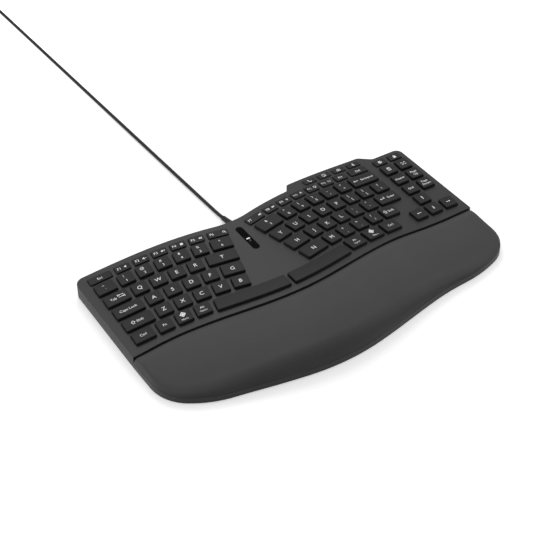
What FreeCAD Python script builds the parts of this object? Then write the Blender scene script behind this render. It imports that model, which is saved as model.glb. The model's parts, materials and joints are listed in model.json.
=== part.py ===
"""Ergonomic keyboard: a domed split key field, a soft palm rest and a straight lead.

All sizes are in millimetres. The layout frame has x = 0 on the split line between the two key halves
(+x right), y = 0 on the front edge of the home row at the right row centre (+y back), and z = 0 on the
table. Each node is moved at the end so that the origin is below the middle of the object.

Every key row is an arc about a row centre, one for each half. A place along a row is its distance
from the row centre's line towards the split, measured along the arc.
"""

import FreeCAD
import Part
import math
import os
from FreeCAD import Placement, Rotation, Vector

# Deck: its height falls from the split line to the wings
CROWN_HEIGHT = 31.0
CROWN_DROP = 16.7
CROWN_REACH = 197.0
CROWN_NODES = (0.11, 0.33, 0.577, 1.0)
DECK_THICKNESS = 2.0

# Outline of the case, measured from the split line or from the home row's arc
LEFT_BACK_EDGE = 165.8
LEFT_FRONT_EDGE = 168.8
RIGHT_BACK_EDGE = 223.5
RIGHT_SEAM_EDGE = 226.0
RIGHT_FRONT_EDGE = 227.0
BACK_REACH = 73.5
CALL_REACH = 81.4
NAV_REACH = 71.5
CALL_STEP_PLACE = 97.8
NAV_STEP_HIGH = 12.3
NAV_STEP_LOW = -0.7
WALL = 2.2
BACK_LEFT_ROUND = 9.0
BACK_RIGHT_ROUND = 7.6
SPLIT_ROUND = 83.0
STEP_OUTER_ROUND = 5.0
STEP_INNER_ROUND = 2.2
NAV_STEP_ROUND = 8.0

# Seam between the deck and the palm rest, and the bowed front edge of the palm rest
SEAM_MIDDLE = -69.65
SEAM_RISE = 20.8
SEAM_REACH = 148.3
SEAM_PLACE = 1.3
BOW_FRONT = -148.8
BOW_RISE = 23.5
BOW_REACH = 165.0
BOW_PLACE = 1.7
LEFT_CORNER_START = -109.9
LEFT_CORNER_STOP = -78.8
RIGHT_CORNER_START = 159.1
RIGHT_CORNER_STOP = -84.2

# Heights of the lower case
UNDERSIDE = 1.2
FLOOR_THICKNESS = 1.9
PARTING_HEIGHT = 8.0
PARTING_GAP = 0.15
RIB_THICKNESS = 1.8
RIB_PLACES = (-128.0, -84.0, -44.0, 44.0, 84.0, 128.0)

# Key rows
ROW_CENTRE = 189.3
HOME_RADIUS = 629.6
KEY_PITCH = 19.05
CAP_SIZE = 15.5
CAP_ROUND = 1.3
FUNCTION_PITCH = 19.3
FUNCTION_FRONT = 56.8
FUNCTION_DEPTH = 10.0
CALL_FRONT = 69.6
CALL_DEPTH = 7.4
CALL_PITCH = 19.5
CALL_EDGE = 15.7
NAV_CAP_WIDTH = 14.7
NAV_PITCH = 18.5
NAV_EDGE = 4.1
SPLIT_EDGE = 163.0
SPLIT_LEAN = 5.2
SPACE_STRIP = 7.8
SPACE_INNER = 2.2
LEFT_SPACE_OUTER = 79.3
RIGHT_SPACE_OUTER = 76.9
LEFT_OUTER_EDGE = 31.6
LEFT_EDGE_LEAN = 0.6
RIGHT_OUTER_EDGE = 14.5
RIGHT_SHIFT_EDGE = 30.4
RIGHT_MODIFIER_EDGE = 43.0
MODIFIER_PITCH = 23.8

# Where the outer side of each row's first plain key lies, from the function row (3) to the space row (-2)
LEFT_STAGGER = {3: 61.3, 2: 56.7, 1: 60.8, 0: 65.0, -1: 64.8, -2: 55.2}
RIGHT_STAGGER = {3: 41.4, 2: 50.1, 1: 34.9, 0: 43.9, -1: 52.9}

# Key cap section, with heights above the deck's top face
CAP_RISE = 2.8
FUNCTION_RISE = 1.4
CALL_RISE = 1.0
CAP_WALL = 1.1
CAP_ROOF = 1.2
CAP_DRAFT = 0.4
CAP_GAP = 0.3
FLANGE_WIDTH = 0.8
FLANGE_THICKNESS = 1.1
FLANGE_GAP = 0.3
KEY_TRAVEL = 2.5
STEM_RADIUS = 3.0
STEM_DEPTH = 4.5
STEM_CLEARANCE = 0.25
GUIDE_WALL = 1.0
GUIDE_SPARE = 0.7
POST_RADIUS = 1.4
POST_INSET = 6.0
POSTED_WIDTH = 26.0

# Layers below the keys, from the top down
FRAME_DEPTH = 7.2
FRAME_THICKNESS = 1.2
LAYER_GAP = 0.2
DOME_SHEET_THICKNESS = 0.7
DOME_GAP = 0.2
DOME_COLLAR = 1.0
MEMBRANE_THICKNESS = 0.35
SUPPORT_THICKNESS = 1.0
LAYER_INSET = 3.4
BAR_THICKNESS = 1.1
BAR_PLACE = 5.6
BAR_GAP = 0.2
BAR_LIFT = 0.05
BAR_FOOT = -14.0
BAR_BLANK = 20.0

# Indicator window on the split line
WINDOW_WIDTH = 7.5
WINDOW_FRONT = 1.1
WINDOW_BACK = 38.9
WINDOW_GAP = 0.1
WINDOW_LIP = 1.2
WINDOW_THICKNESS = 2.8
GUIDE_BLOCK_WIDTH = 3.0
GUIDE_BLOCK_LENGTH = 14.0

# Controller board
BOARD_WIDTH = 40.0
BOARD_LENGTH = 36.0
BOARD_THICKNESS = 1.6
BOARD_FRONT = 4.0
BOARD_HEIGHT = 5.0
BOSS_RADIUS = 2.5
CHIP_SIZE = 10.0
CHIP_HEIGHT = 1.4
CHIP_PLACE = (4.0, 12.0)
CONNECTOR_LENGTH = 6.0
LAMP_HEIGHT = 1.2
LAMP_SIZE = 1.6
LAMP_PITCH = 5.0

# Screws from below into the posts of the deck and of the palm rest core
DECK_POSTS = ((-161.0, 58.0), (-162.6, 5.0), (-164.2, -38.0), (0.0, 45.6), (0.0, -12.0), (0.0, -38.0),
              (180.5, 26.0), (180.5, -12.0))
CORE_POSTS = ((-70.0, -80.0), (70.0, -80.0), (-40.0, -124.0), (60.0, -120.0))
SCREW_POST_RADIUS = 2.6
SCREW_RADIUS = 1.2
SCREW_LENGTH = 8.8
SCREW_HEAD_RADIUS = 2.5
SCREW_HEAD_HEIGHT = 1.6
SCREW_SINK = 0.8
SCREW_CLEARANCE = 0.05
HEAD_CLEARANCE = 0.3
BOSS_WALL = 1.0
PILOT_SPARE = 0.95

# Palm rest
PAD_GAP = 0.35
PAD_BACK_DIP = 1.4
PAD_CROWN = 0.3
PAD_FALL = 3.0
PAD_ROLL = 13.0
PAD_SIDE_ROLL = 6.0
PAD_BACK_ROLL = 5.0
PAD_RIM = 1.2
CORE_INSET = 9.0
CORE_DEPTH = 8.0
CORE_WALL = 2.2
CORE_GAP = 0.3

# Rubber feet and fold-out tilt feet
RUBBER_FEET = ((-146.0, 52.0), (207.0, 50.0), (-140.0, -92.0), (196.0, -92.0), (0.0, -134.0), (30.0, 38.0))
RUBBER_RADIUS = 6.5
RUBBER_SINK = 0.6
RUBBER_GAP = 0.1
TILT_FEET = {"left": -115.0, "right": 125.0}
TILT_WIDTH = 30.0
TILT_LENGTH = 20.0
TILT_THICKNESS = 4.2
TILT_HINGE_PLACE = -91.0
TILT_PIN_RADIUS = 1.5
TILT_PIN_CLEARANCE = 0.08
TILT_GAP = 0.5
TILT_HOUSING_WALL = 2.0
TILT_ROOF = 1.33
FINGER_RADIUS = 8.0
FINGER_DEPTH = 1.0
TILT_LIFT = 0.2

# Lead: it leaves the back wall through a tapered strain relief and lies straight on the table
LEAD_DIAMETER = 3.8
LEAD_HEIGHT = 0.06
LEAD_EXIT = (14.4, 54.0)
LEAD_HEADING = 2.07
LEAD_RUN_OUT = 6.0
LEAD_TOUCHDOWN = 24.0
RELIEF_ROOT_RADIUS = 4.0
RELIEF_TIP_RADIUS = 2.7
RELIEF_LENGTH = 34.0
RELIEF_SLOPE = 8.0
RELIEF_FLANGE_RADIUS = 5.4
RELIEF_FLANGE_THICKNESS = 1.6
RELIEF_NECK = 6.4
COIL_PLACE = 612.0
COIL_OUTER_RADIUS = 31.2
COIL_GAP = 0.5
COIL_HALF_TURNS = 19
TAIL_LENGTH = 34.0
PLUG_WIDTH = 16.0
PLUG_LENGTH = 24.0
PLUG_THICKNESS = 8.0
PLUG_ROUND = 2.4
SHELL_WIDTH = 12.0
SHELL_THICKNESS = 4.5
SHELL_LENGTH = 12.5
SHELL_WALL = 0.5
SHELL_BACK = 1.0
TONGUE_SINK = 2.0

FAR = 300.0
LETTER_ROWS = {1: ("qwer", "t", "y", "uiop"), 0: ("asdf", "g", "h", "jkl"), -1: ("zxcv", "b", "n", "m")}


def place(x, y, z):
    return Vector(x, y, z)


def crown_drop(x):
    """How far the deck lies below its crown at x."""
    share = min(abs(x) / CROWN_REACH, 1.0)
    return CROWN_DROP * (2.0 * share ** 2 - share ** 4)


def deck_height(x):
    return CROWN_HEIGHT - crown_drop(x)


def deck_lean(x):
    """Angle in degrees by which the deck's normal leans towards +x at x."""
    share = min(abs(x) / CROWN_REACH, 1.0)
    slope = CROWN_DROP * 4.0 * (share - share ** 3) / CROWN_REACH
    return math.degrees(math.atan(slope)) * (1.0 if x > 0 else -1.0)


def arc_edge(start, control, stop):
    """Circular arc that leaves start and reaches stop along the lines to a control point between them."""
    weight = (stop - start).Length / 2 / (control - start).Length
    if weight > 1 - 1e-9:
        return Part.makeLine(start, stop)
    middle = (start + control * (2 * weight) + stop) * (1 / (2 + 2 * weight))
    return Part.Arc(start, middle, stop).toShape()


def biarc(start, start_way, stop, stop_way):
    """Two tangent arcs from start to stop with the given directions at the ends."""
    span = stop - start
    a = 2 * (1 - start_way.dot(stop_way))
    b = 2 * span.dot(start_way + stop_way)
    c = -span.dot(span)
    reach = -c / b if a < 1e-9 else (-b + math.sqrt(b * b - 4 * a * c)) / (2 * a)
    first, second = start + start_way * reach, stop - stop_way * reach
    joint = (first + second) * 0.5
    return [arc_edge(start, first, joint), arc_edge(joint, second, stop)]


def crown_edges(offset, y):
    """The deck's section at y, moved up by offset: tangent arcs over the dome and flat wings."""
    xs = sorted(side * share * CROWN_REACH for side in (-1, 1) for share in CROWN_NODES)
    points = [place(x, y, deck_height(x) + offset) for x in xs]
    leans = [math.radians(deck_lean(x)) for x in xs]
    ways = [place(math.cos(lean), 0, -math.sin(lean)) for lean in leans]
    edges = [Part.makeLine(place(-FAR, y, points[0].z), points[0])]
    for n in range(len(xs) - 1):
        if xs[n + 1] == -xs[n]:
            peak = place(0, y, points[n].z + xs[n + 1] * math.tan(leans[n + 1]))
            edges.append(arc_edge(points[n], peak, points[n + 1]))
        else:
            edges += biarc(points[n], ways[n], points[n + 1], ways[n + 1])
    edges.append(Part.makeLine(points[-1], place(FAR, y, points[-1].z)))
    return edges, points[0].z


def crown_band(low, high):
    """The space between two copies of the deck's surface, over the whole object."""
    top, top_wing = crown_edges(high, -FAR)
    bottom, bottom_wing = crown_edges(low, -FAR)
    sides = [
        Part.makeLine(place(x, -FAR, bottom_wing), place(x, -FAR, top_wing))
        for x in (-FAR, FAR)
    ]
    wire = Part.Wire(Part.__sortEdges__(top + bottom + sides))
    return Part.Face(wire).extrude(Vector(0, 2 * FAR, 0))


def below_crown(offset):
    """The space below the deck's surface moved up by offset."""
    return crown_band(-3 * CROWN_HEIGHT, offset)


def row_radius(front):
    return HOME_RADIUS + front


def row_point(side, front, along):
    """Layout x and y of a place on a row arc. side is -1 for the left half and 1 for the right."""
    turn = along / row_radius(front)
    x = ROW_CENTRE - row_radius(front) * math.sin(turn)
    y = row_radius(front) * math.cos(turn) - HOME_RADIUS
    return side * x, y


def arc_y(x, radius, centre):
    """Height in the plan of a circle about (centre, -HOME_RADIUS) at x."""
    return math.sqrt(radius ** 2 - (x - centre) ** 2) - HOME_RADIUS


def arc_between(x1, x2, radius, centre):
    points = [place(x, arc_y(x, radius, centre), 0) for x in (x1, (x1 + x2) / 2, x2)]
    return Part.Arc(*points).toShape()


def cosine_rise(share):
    return (1.0 - math.cos(math.pi * min(abs(share), 1.0))) / 2.0


def seam_y(x):
    return SEAM_MIDDLE + SEAM_RISE * cosine_rise((x - SEAM_PLACE) / SEAM_REACH)


def bow_y(x):
    return BOW_FRONT + BOW_RISE * cosine_rise((x - BOW_PLACE) / BOW_REACH)


def slope_angle(rule, x):
    step = 1e-4
    return math.atan((rule(x + step) - rule(x - step)) / (2 * step))


def arcs_through(rule, xs, inset):
    """Tangent arcs in the plan through the places xs on y = rule(x), moved inset towards the back."""
    leans = [slope_angle(rule, x) for x in xs]
    ways = [place(math.cos(lean), math.sin(lean), 0) for lean in leans]
    points = [place(x - inset * way.y, rule(x) + inset * way.x, 0) for x, way in zip(xs, ways)]
    edges = []
    for n in range(len(xs) - 1):
        edges += biarc(points[n], ways[n], points[n + 1], ways[n + 1])
    return edges


def seam_edges(left, right, inset):
    """The seam from the left edge to the right edge: straight wings and arcs between them."""
    wing = SEAM_MIDDLE + SEAM_RISE + inset
    shares = (-1.0, -0.5, 0.0, 0.5, 1.0)
    arcs = arcs_through(seam_y, [SEAM_PLACE + share * SEAM_REACH for share in shares], inset)
    return [
        Part.makeLine(place(left, wing, 0), arcs[0].Vertexes[0].Point),
        *arcs,
        Part.makeLine(arcs[-1].Vertexes[-1].Point, place(right, wing, 0)),
    ]


def front_edges(inset):
    """Front of the palm rest from the left side to the right side, and its two ends."""
    shares = (-0.5, 0.0, 0.5)
    places = [LEFT_CORNER_START] + [BOW_PLACE + share * BOW_REACH for share in shares] + [RIGHT_CORNER_START]
    bow = arcs_through(bow_y, places, inset)
    first, last = bow[0].Vertexes[0].Point, bow[-1].Vertexes[-1].Point
    leans = [slope_angle(bow_y, x) for x in (places[0], places[-1])]
    ways = [place(math.cos(lean), math.sin(lean), 0) for lean in leans]
    left = place(-LEFT_FRONT_EDGE + inset, LEFT_CORNER_STOP, 0)
    right = place(RIGHT_FRONT_EDGE - inset, RIGHT_CORNER_STOP, 0)
    corners = biarc(left, place(0, -1, 0), first, ways[0]) + biarc(last, ways[1], right, place(0, 1, 0))
    return corners + bow, left, right


def front_y(x):
    """Front edge of the palm rest at x."""
    front = Part.Wire(Part.__sortEdges__(front_edges(0.0)[0]))
    across = Part.makeLine(place(x, -FAR, 0), place(x, 0, 0))
    return front.distToShape(across)[1][0][0].y


def step_place(high, low, inset, reach):
    """x where a step's side, moved inwards by inset, meets the back arc with the given reach."""
    along = (low - high).normalize()
    x = high.x
    for _ in range(6):
        y = arc_y(x, HOME_RADIUS + reach - inset, ROW_CENTRE)
        x = high.x + (y - high.y) * along.x / along.y - inset / abs(along.y)
    return x


def back_edges(inset):
    """Back of the case from left to right, the ends of both sides and the corners that are rounded."""
    back, call, nav = (HOME_RADIUS + reach - inset for reach in (BACK_REACH, CALL_REACH, NAV_REACH))
    left, right = -LEFT_BACK_EDGE + inset, RIGHT_BACK_EDGE - inset
    step = ROW_CENTRE - (HOME_RADIUS + CALL_REACH) * math.sin(CALL_STEP_PLACE / HOME_RADIUS) + inset
    high_x, low_x = ROW_CENTRE - NAV_STEP_HIGH, ROW_CENTRE - NAV_STEP_LOW
    high = place(high_x, arc_y(high_x, HOME_RADIUS + CALL_REACH, ROW_CENTRE), 0)
    low = place(low_x, arc_y(low_x, HOME_RADIUS + NAV_REACH, ROW_CENTRE), 0)
    nav_high, nav_low = (step_place(high, low, inset, reach) for reach in (CALL_REACH, NAV_REACH))
    points = {
        "left": place(left, arc_y(left, back, -ROW_CENTRE), 0),
        "split": place(0, arc_y(0, back, -ROW_CENTRE), 0),
        "step_low": place(step, arc_y(step, back, ROW_CENTRE), 0),
        "step_high": place(step, arc_y(step, call, ROW_CENTRE), 0),
        "nav_high": place(nav_high, arc_y(nav_high, call, ROW_CENTRE), 0),
        "nav_low": place(nav_low, arc_y(nav_low, nav, ROW_CENTRE), 0),
        "right": place(right, arc_y(right, nav, ROW_CENTRE), 0),
    }
    edges = [
        arc_between(left, 0, back, -ROW_CENTRE),
        arc_between(0, step, back, ROW_CENTRE),
        Part.makeLine(points["step_low"], points["step_high"]),
        arc_between(step, nav_high, call, ROW_CENTRE),
        Part.makeLine(points["nav_high"], points["nav_low"]),
        arc_between(nav_low, right, nav, ROW_CENTRE),
    ]
    rounds = [
        (points["left"], BACK_LEFT_ROUND - inset),
        (points["split"], SPLIT_ROUND + inset),
        (points["step_low"], STEP_INNER_ROUND + inset),
        (points["step_high"], STEP_OUTER_ROUND - inset),
        (points["nav_high"], NAV_STEP_ROUND - inset),
        (points["nav_low"], NAV_STEP_ROUND + inset),
        (points["right"], BACK_RIGHT_ROUND - inset),
    ]
    return edges, points, rounds


def upright(edges, rounds, low, high):
    """A prism over a closed plan outline, with the named upright corners rounded."""
    wire = Part.Wire(Part.__sortEdges__(edges))
    solid = Part.Face(wire).extrude(Vector(0, 0, high - low))
    solid.translate(Vector(0, 0, low))
    for point, radius in rounds:
        edge = [
            e for e in solid.Edges
            if all(math.hypot(v.X - point.x, v.Y - point.y) < 1e-4 for v in e.Vertexes)
        ]
        solid = solid.makeFillet(radius, edge)
    return solid


def side_point(side, inset):
    """Where the case's outer side meets the seam."""
    edge = LEFT_FRONT_EDGE if side < 0 else RIGHT_SEAM_EDGE
    return place(side * (edge - inset), SEAM_MIDDLE + SEAM_RISE, 0)


def deck_prism(inset, low, high):
    """The case's plan from the back wall to the seam."""
    edges, points, rounds = back_edges(inset)
    left, right = (side_point(side, inset) + place(0, inset, 0) for side in (-1, 1))
    sides = [Part.makeLine(points["left"], left), Part.makeLine(points["right"], right)]
    return upright(edges + seam_edges(left.x, right.x, inset) + sides, rounds, low, high)


def palm_prism(inset, low, high):
    """The palm rest's plan from the seam to the bowed front."""
    front, left_end, right_end = front_edges(inset)
    left, right = (side_point(side, inset) - place(0, inset, 0) for side in (-1, 1))
    sides = [Part.makeLine(left_end, left), Part.makeLine(right_end, right)]
    return upright(front + seam_edges(left.x, right.x, -inset) + sides, [], low, high)


def tray_prism(inset, low, high):
    """The plan of the whole object."""
    edges, points, rounds = back_edges(inset)
    front, left_end, right_end = front_edges(inset)
    left, right = (side_point(side, inset) for side in (-1, 1))
    sides = [
        Part.makeLine(points["left"], left),
        Part.makeLine(left, left_end),
        Part.makeLine(points["right"], right),
        Part.makeLine(right, right_end),
    ]
    return upright(edges + front + sides, rounds, low, high)


class Key:
    """One key: its name, the node that it belongs to, its half, its place on a row arc and its size."""

    def __init__(self, name, node, side, front, outer, width, depth=CAP_SIZE, rise=CAP_RISE):
        self.name, self.node, self.side = name, node, side
        self.width, self.depth, self.rise = width, depth, rise
        radius = row_radius(front + depth / 2)
        along = (outer + width / 2) * radius / row_radius(front)
        self.x, self.y = row_point(side, front + depth / 2, along)
        self.heading = side * math.degrees(along / radius)
        self.lean = deck_lean(self.x)

    def seat(self):
        """The key's own frame: origin on the deck's surface, x along the row, z along its travel."""
        lean = Rotation(Vector(0, 1, 0), self.lean)
        heading = Rotation(Vector(0, 0, 1), self.heading)
        return Placement(place(self.x, self.y, deck_height(self.x)), lean.multiply(heading))

    def normal(self):
        return Rotation(Vector(0, 1, 0), self.lean).multVec(Vector(0, 0, 1))

    def outline(self, grow, z):
        """The cap's plan in its own frame, larger by grow all round."""
        return cap_outline(self.width + 2 * grow, self.depth + 2 * grow, max(CAP_ROUND + grow, 0.4), z)

    def block(self, grow, low, high):
        """A block over the cap's plan between two heights above the deck."""
        block = Part.Face(self.outline(grow, low)).extrude(Vector(0, 0, high - low))
        block.Placement = self.seat()
        return block

    def body(self, bottom):
        """The cap's outside: straight below the deck and drawn in towards its top."""
        head = Part.makeLoft([self.outline(0.0, 0.0), self.outline(-CAP_DRAFT, self.rise)], True, True)
        head.Placement = self.seat()
        return self.block(0.0, bottom, 0.0).fuse(head)

    def rods(self):
        """Radius, place along the key and lift of the stem and of any side posts."""
        inside = self.depth / 2 - CAP_WALL - CAP_GAP
        stem = (min(STEM_RADIUS, inside - GUIDE_WALL - STEM_CLEARANCE), 0.0, 0.0)
        reach = self.width / 2 - POST_INSET
        posts = [(POST_RADIUS, place_x, self.lift(place_x)) for place_x in (-reach, reach)]
        return [stem] + (posts if self.width > POSTED_WIDTH else [])

    def lift(self, along):
        """Height of the deck at a place along the key over the key's own flat frame."""
        return 0.0

    def guide_top(self):
        """Top of the sleeves, with the cap's roof just above them when the key is pressed."""
        return self.rise - CAP_ROOF - KEY_TRAVEL - GUIDE_SPARE


class SpaceKey(Key):
    """A long key that follows the seam and the dome. It travels straight down."""

    def __init__(self, name, node, side, outer):
        self.name, self.node, self.side = name, node, side
        self.depth, self.rise, self.lean = CAP_SIZE, CAP_RISE, 0.0
        self.inner, self.outer = side * SPACE_INNER, side * outer
        self.width = outer - SPACE_INNER
        middle = (self.inner + self.outer) / 2
        angle = slope_angle(seam_y, middle)
        reach = SPACE_STRIP + self.depth / 2
        self.x, self.y = middle - reach * math.sin(angle), seam_y(middle) + reach * math.cos(angle)
        self.heading = math.degrees(angle)

    def block(self, grow, low, high):
        ends = (self.inner - self.side * grow, self.outer + self.side * grow)
        xs = [min(ends), sum(ends) / 2, max(ends)]
        front = arcs_through(seam_y, xs, SPACE_STRIP - grow)
        back = arcs_through(seam_y, xs, SPACE_STRIP + self.depth + grow)
        starts = [edges[0].Vertexes[0].Point for edges in (front, back)]
        stops = [edges[-1].Vertexes[-1].Point for edges in (front, back)]
        sides = [Part.makeLine(*starts), Part.makeLine(*stops)]
        rounds = [(point, max(CAP_ROUND + grow, 0.4)) for point in starts + stops]
        return upright(front + back + sides, rounds, 0.0, 2 * CROWN_HEIGHT).common(crown_band(low, high))

    def body(self, bottom):
        return self.block(0.0, bottom, self.rise)

    def lift(self, along):
        return deck_height(self.x + along * math.cos(math.radians(self.heading))) - deck_height(self.x)


def row_keys(side, level, stagger, outer_edge, names):
    """Keys of one row from its outer end to the split.

    names holds the outer key, the plain keys and the inner key, each with its node.
    """
    outer, plain, inner = names
    pitch, depth, rise = KEY_PITCH, CAP_SIZE, CAP_RISE
    if level == 3:
        pitch, depth, rise = FUNCTION_PITCH, FUNCTION_DEPTH, FUNCTION_RISE
    front = level_front(level)
    web = pitch - CAP_SIZE
    keys = [Key(*outer, side, front, outer_edge, stagger - web - outer_edge, depth, rise)]
    for n, name in enumerate(plain):
        keys.append(Key(*name, side, front, stagger + n * pitch, CAP_SIZE, depth, rise))
    start = stagger + len(plain) * pitch
    if inner:
        keys.append(Key(*inner, side, front, start, SPLIT_EDGE + SPLIT_LEAN * level - start, depth, rise))
    return keys


def letter(name):
    return name, "key_" + name


def grouped(names, node):
    return [(name, node) for name in names]


def level_front(level):
    return FUNCTION_FRONT if level == 3 else level * KEY_PITCH


def left_half():
    """Keys left of the split, row by row from the back."""
    number, function, modifier = "number_keys_left", "function_keys_left", "modifier_keys_left"
    outer = {
        3: ("escape", function), 2: ("grave", number), 1: ("tab", modifier), 0: ("caps", modifier),
        -1: ("shift_left", "key_shift_left"), -2: ("control_left", modifier),
    }
    plain = {
        3: grouped(["f1", "f2", "f3", "f4", "f5"], function),
        2: grouped("12345", number),
        -2: grouped(["fn", "system_left", "alt_left"], modifier),
    }
    inner = {3: ("f6", function), 2: ("6", number), -2: None}
    keys = [SpaceKey("space_left", "key_space_left", -1, LEFT_SPACE_OUTER)]
    for level in (3, 2, 1, 0, -1, -2):
        if level in LETTER_ROWS:
            plain[level] = [letter(name) for name in LETTER_ROWS[level][0]]
            inner[level] = letter(LETTER_ROWS[level][1])
        names = (outer[level], plain[level], inner[level])
        keys += row_keys(-1, level, LEFT_STAGGER[level], LEFT_OUTER_EDGE + LEFT_EDGE_LEAN * level, names)
    return keys


def right_half():
    """Keys right of the split up to the navigation block, row by row from the back."""
    number, function, mark = "number_keys_right", "function_keys_right", "punctuation_keys"
    outer = {
        3: ("delete", function), 2: ("backspace", "key_backspace"), 1: ("backslash", mark),
        0: ("enter", "key_enter"), -1: ("shift_right", "key_shift_right"),
    }
    marks = {
        1: ["bracket_right", "bracket_left"], 0: ["quote", "semicolon"], -1: ["slash", "period", "comma"],
    }
    plain = {
        3: grouped(["print", "f12", "f11", "f10", "f9", "f8"], function),
        2: grouped(["equal", "minus", "0", "9", "8"], number),
    }
    inner = {3: ("f7", function), 2: ("7", number)}
    edges = {-1: RIGHT_SHIFT_EDGE}
    keys = []
    for level in (3, 2, 1, 0, -1):
        if level in LETTER_ROWS:
            letters = [letter(name) for name in reversed(LETTER_ROWS[level][3])]
            plain[level] = grouped(marks[level], mark) + letters
            inner[level] = letter(LETTER_ROWS[level][2])
        names = (outer[level], plain[level], inner[level])
        keys += row_keys(1, level, RIGHT_STAGGER[level], edges.get(level, RIGHT_OUTER_EDGE), names)
    web = KEY_PITCH - CAP_SIZE
    front = level_front(-2)
    for n, name in enumerate(("control_right", "system_right", "alt_right")):
        start = RIGHT_MODIFIER_EDGE + n * MODIFIER_PITCH
        keys.append(Key(name, "modifier_keys_right", 1, front, start, MODIFIER_PITCH - web))
    keys.append(SpaceKey("space_right", "key_space_right", 1, RIGHT_SPACE_OUTER))
    for n, name in enumerate(("call_mute", "call_camera", "call_video", "call_phone")):
        start = CALL_EDGE + n * CALL_PITCH
        width = CALL_PITCH - web
        keys.append(Key(name, "function_keys_right", 1, CALL_FRONT, start, width, CALL_DEPTH, CALL_RISE))
    return keys


def navigation_block():
    """Two columns of keys and the arrow keys at the right end."""
    names = {
        3: ("settings", "lock"), 2: ("calculator", "capture"), 1: ("home", "page_up"),
        0: ("end", "page_down"), -1: ("arrow_up",), -2: ("arrow_down", "arrow_right"),
    }
    keys = []
    for level, row in names.items():
        size = (NAV_CAP_WIDTH, FUNCTION_DEPTH, FUNCTION_RISE) if level == 3 else (NAV_CAP_WIDTH,)
        for n, name in enumerate(row):
            start = NAV_EDGE - NAV_CAP_WIDTH - n * NAV_PITCH
            keys.append(Key(name, "navigation_keys", 1, level_front(level), start, *size))
    start = NAV_EDGE - NAV_CAP_WIDTH + NAV_PITCH
    keys.append(Key("arrow_left", "navigation_keys", 1, level_front(-2), start, NAV_CAP_WIDTH))
    return keys


def all_keys():
    return left_half() + right_half() + navigation_block()


def cap_outline(width, depth, corner_round, z):
    """Rounded rectangle about the origin."""
    half_w, half_d, cut = width / 2, depth / 2, corner_round * (1 - math.sqrt(0.5))
    arcs = []
    for way_x, way_y in ((1, -1), (1, 1), (-1, 1), (-1, -1)):
        along = place(way_x * (half_w - corner_round), way_y * half_d, z)
        tip = place(way_x * (half_w - cut), way_y * (half_d - cut), z)
        across = place(way_x * half_w, way_y * (half_d - corner_round), z)
        first, last = (along, across) if way_x * way_y < 0 else (across, along)
        arcs.append(Part.Arc(first, tip, last).toShape())
    lines = [Part.makeLine(arcs[n - 1].Vertexes[-1].Point, arcs[n].Vertexes[0].Point) for n in range(4)]
    return Part.Wire(Part.__sortEdges__(arcs + lines))


def key_rod(key, radius, low, high, along=0.0):
    """A round rod along the key's own axis."""
    rod = Part.makeCylinder(radius, high - low, place(along, 0, low))
    rod.Placement = key.seat()
    return rod


def key_solid(key):
    """Cap with a hollow inside, a flange that holds it below the deck, a stem and any side posts."""
    flange_top = -DECK_THICKNESS - FLANGE_GAP
    bottom = flange_top - FLANGE_THICKNESS
    flange = key.block(FLANGE_WIDTH, bottom, flange_top)
    roof = key.rise - CAP_ROOF
    hollow = key.block(-CAP_WALL, bottom - CAP_GAP, roof)
    rods = [
        key_rod(key, radius, lift - STEM_DEPTH, lift + roof + CAP_ROOF / 2, along)
        for radius, along, lift in key.rods()
    ]
    return key.body(bottom).fuse(flange).cut(hollow).fuse(rods).removeSplitter()


def opening(key):
    """The hole that a key passes through in the deck."""
    return key.block(CAP_GAP, -2 * DECK_THICKNESS, CAP_RISE)


def guide_parts(keys):
    """Outsides and bores of the sleeves that the stems and posts slide in."""
    low = -FRAME_DEPTH - FRAME_THICKNESS / 2
    outsides, bores = [], []
    for key in keys:
        for radius, along, lift in key.rods():
            bore = radius + STEM_CLEARANCE
            top = key.guide_top() + lift
            outsides.append(key_rod(key, bore + GUIDE_WALL, low + lift, top, along))
            bores.append(key_rod(key, bore, low + lift - FRAME_THICKNESS, top + 1.0, along))
    return outsides, bores


def screw_boss_radius():
    return SCREW_HEAD_RADIUS + HEAD_CLEARANCE + BOSS_WALL


def post_holes(low, high):
    """Clearance holes for the screw posts and their bosses in the layers under the keys."""
    radius = screw_boss_radius() + CAP_GAP
    return [Part.makeCylinder(radius, high - low, place(x, y, low)) for x, y in DECK_POSTS]


def guide_slot(grow):
    """Upright slot for the light guide of the indicator window."""
    width, length = GUIDE_BLOCK_WIDTH + 2 * grow, GUIDE_BLOCK_LENGTH + 2 * grow
    middle = (WINDOW_FRONT + WINDOW_BACK) / 2
    return Part.makeBox(width, length, CROWN_HEIGHT, place(-width / 2, middle - length / 2, 0))


def layer(top, thickness):
    """One sheet below the keys: it follows the deck and leaves room for posts and light guide."""
    sheet = deck_prism(LAYER_INSET, 0, 2 * CROWN_HEIGHT).common(crown_band(top - thickness, top))
    return sheet.cut(post_holes(0, CROWN_HEIGHT) + [guide_slot(LAYER_GAP)])


def key_frame(keys):
    """Plate with a sleeve for each stem and post."""
    outsides, bores = guide_parts(keys)
    return layer(-FRAME_DEPTH, FRAME_THICKNESS).fuse(outsides).cut(bores)


def sheet_top():
    return -FRAME_DEPTH - FRAME_THICKNESS - LAYER_GAP


def dome_sheet(keys):
    """Rubber sheet with a dome in each stem's sleeve."""
    sheet = layer(sheet_top(), DOME_SHEET_THICKNESS)
    top = -STEM_DEPTH - DOME_GAP
    foot = sheet_top() - DOME_SHEET_THICKNESS / 2
    domes = []
    for key in keys:
        base = key.rods()[0][0] - CAP_GAP / 2
        collar = Part.makeCylinder(base, DOME_COLLAR, place(0, 0, foot))
        collar_top = foot + DOME_COLLAR
        dome = collar.fuse(Part.makeCone(base, 0.7 * base, top - collar_top, place(0, 0, collar_top)))
        dome.Placement = key.seat()
        domes.append(dome)
    return sheet.fuse(domes)


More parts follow.
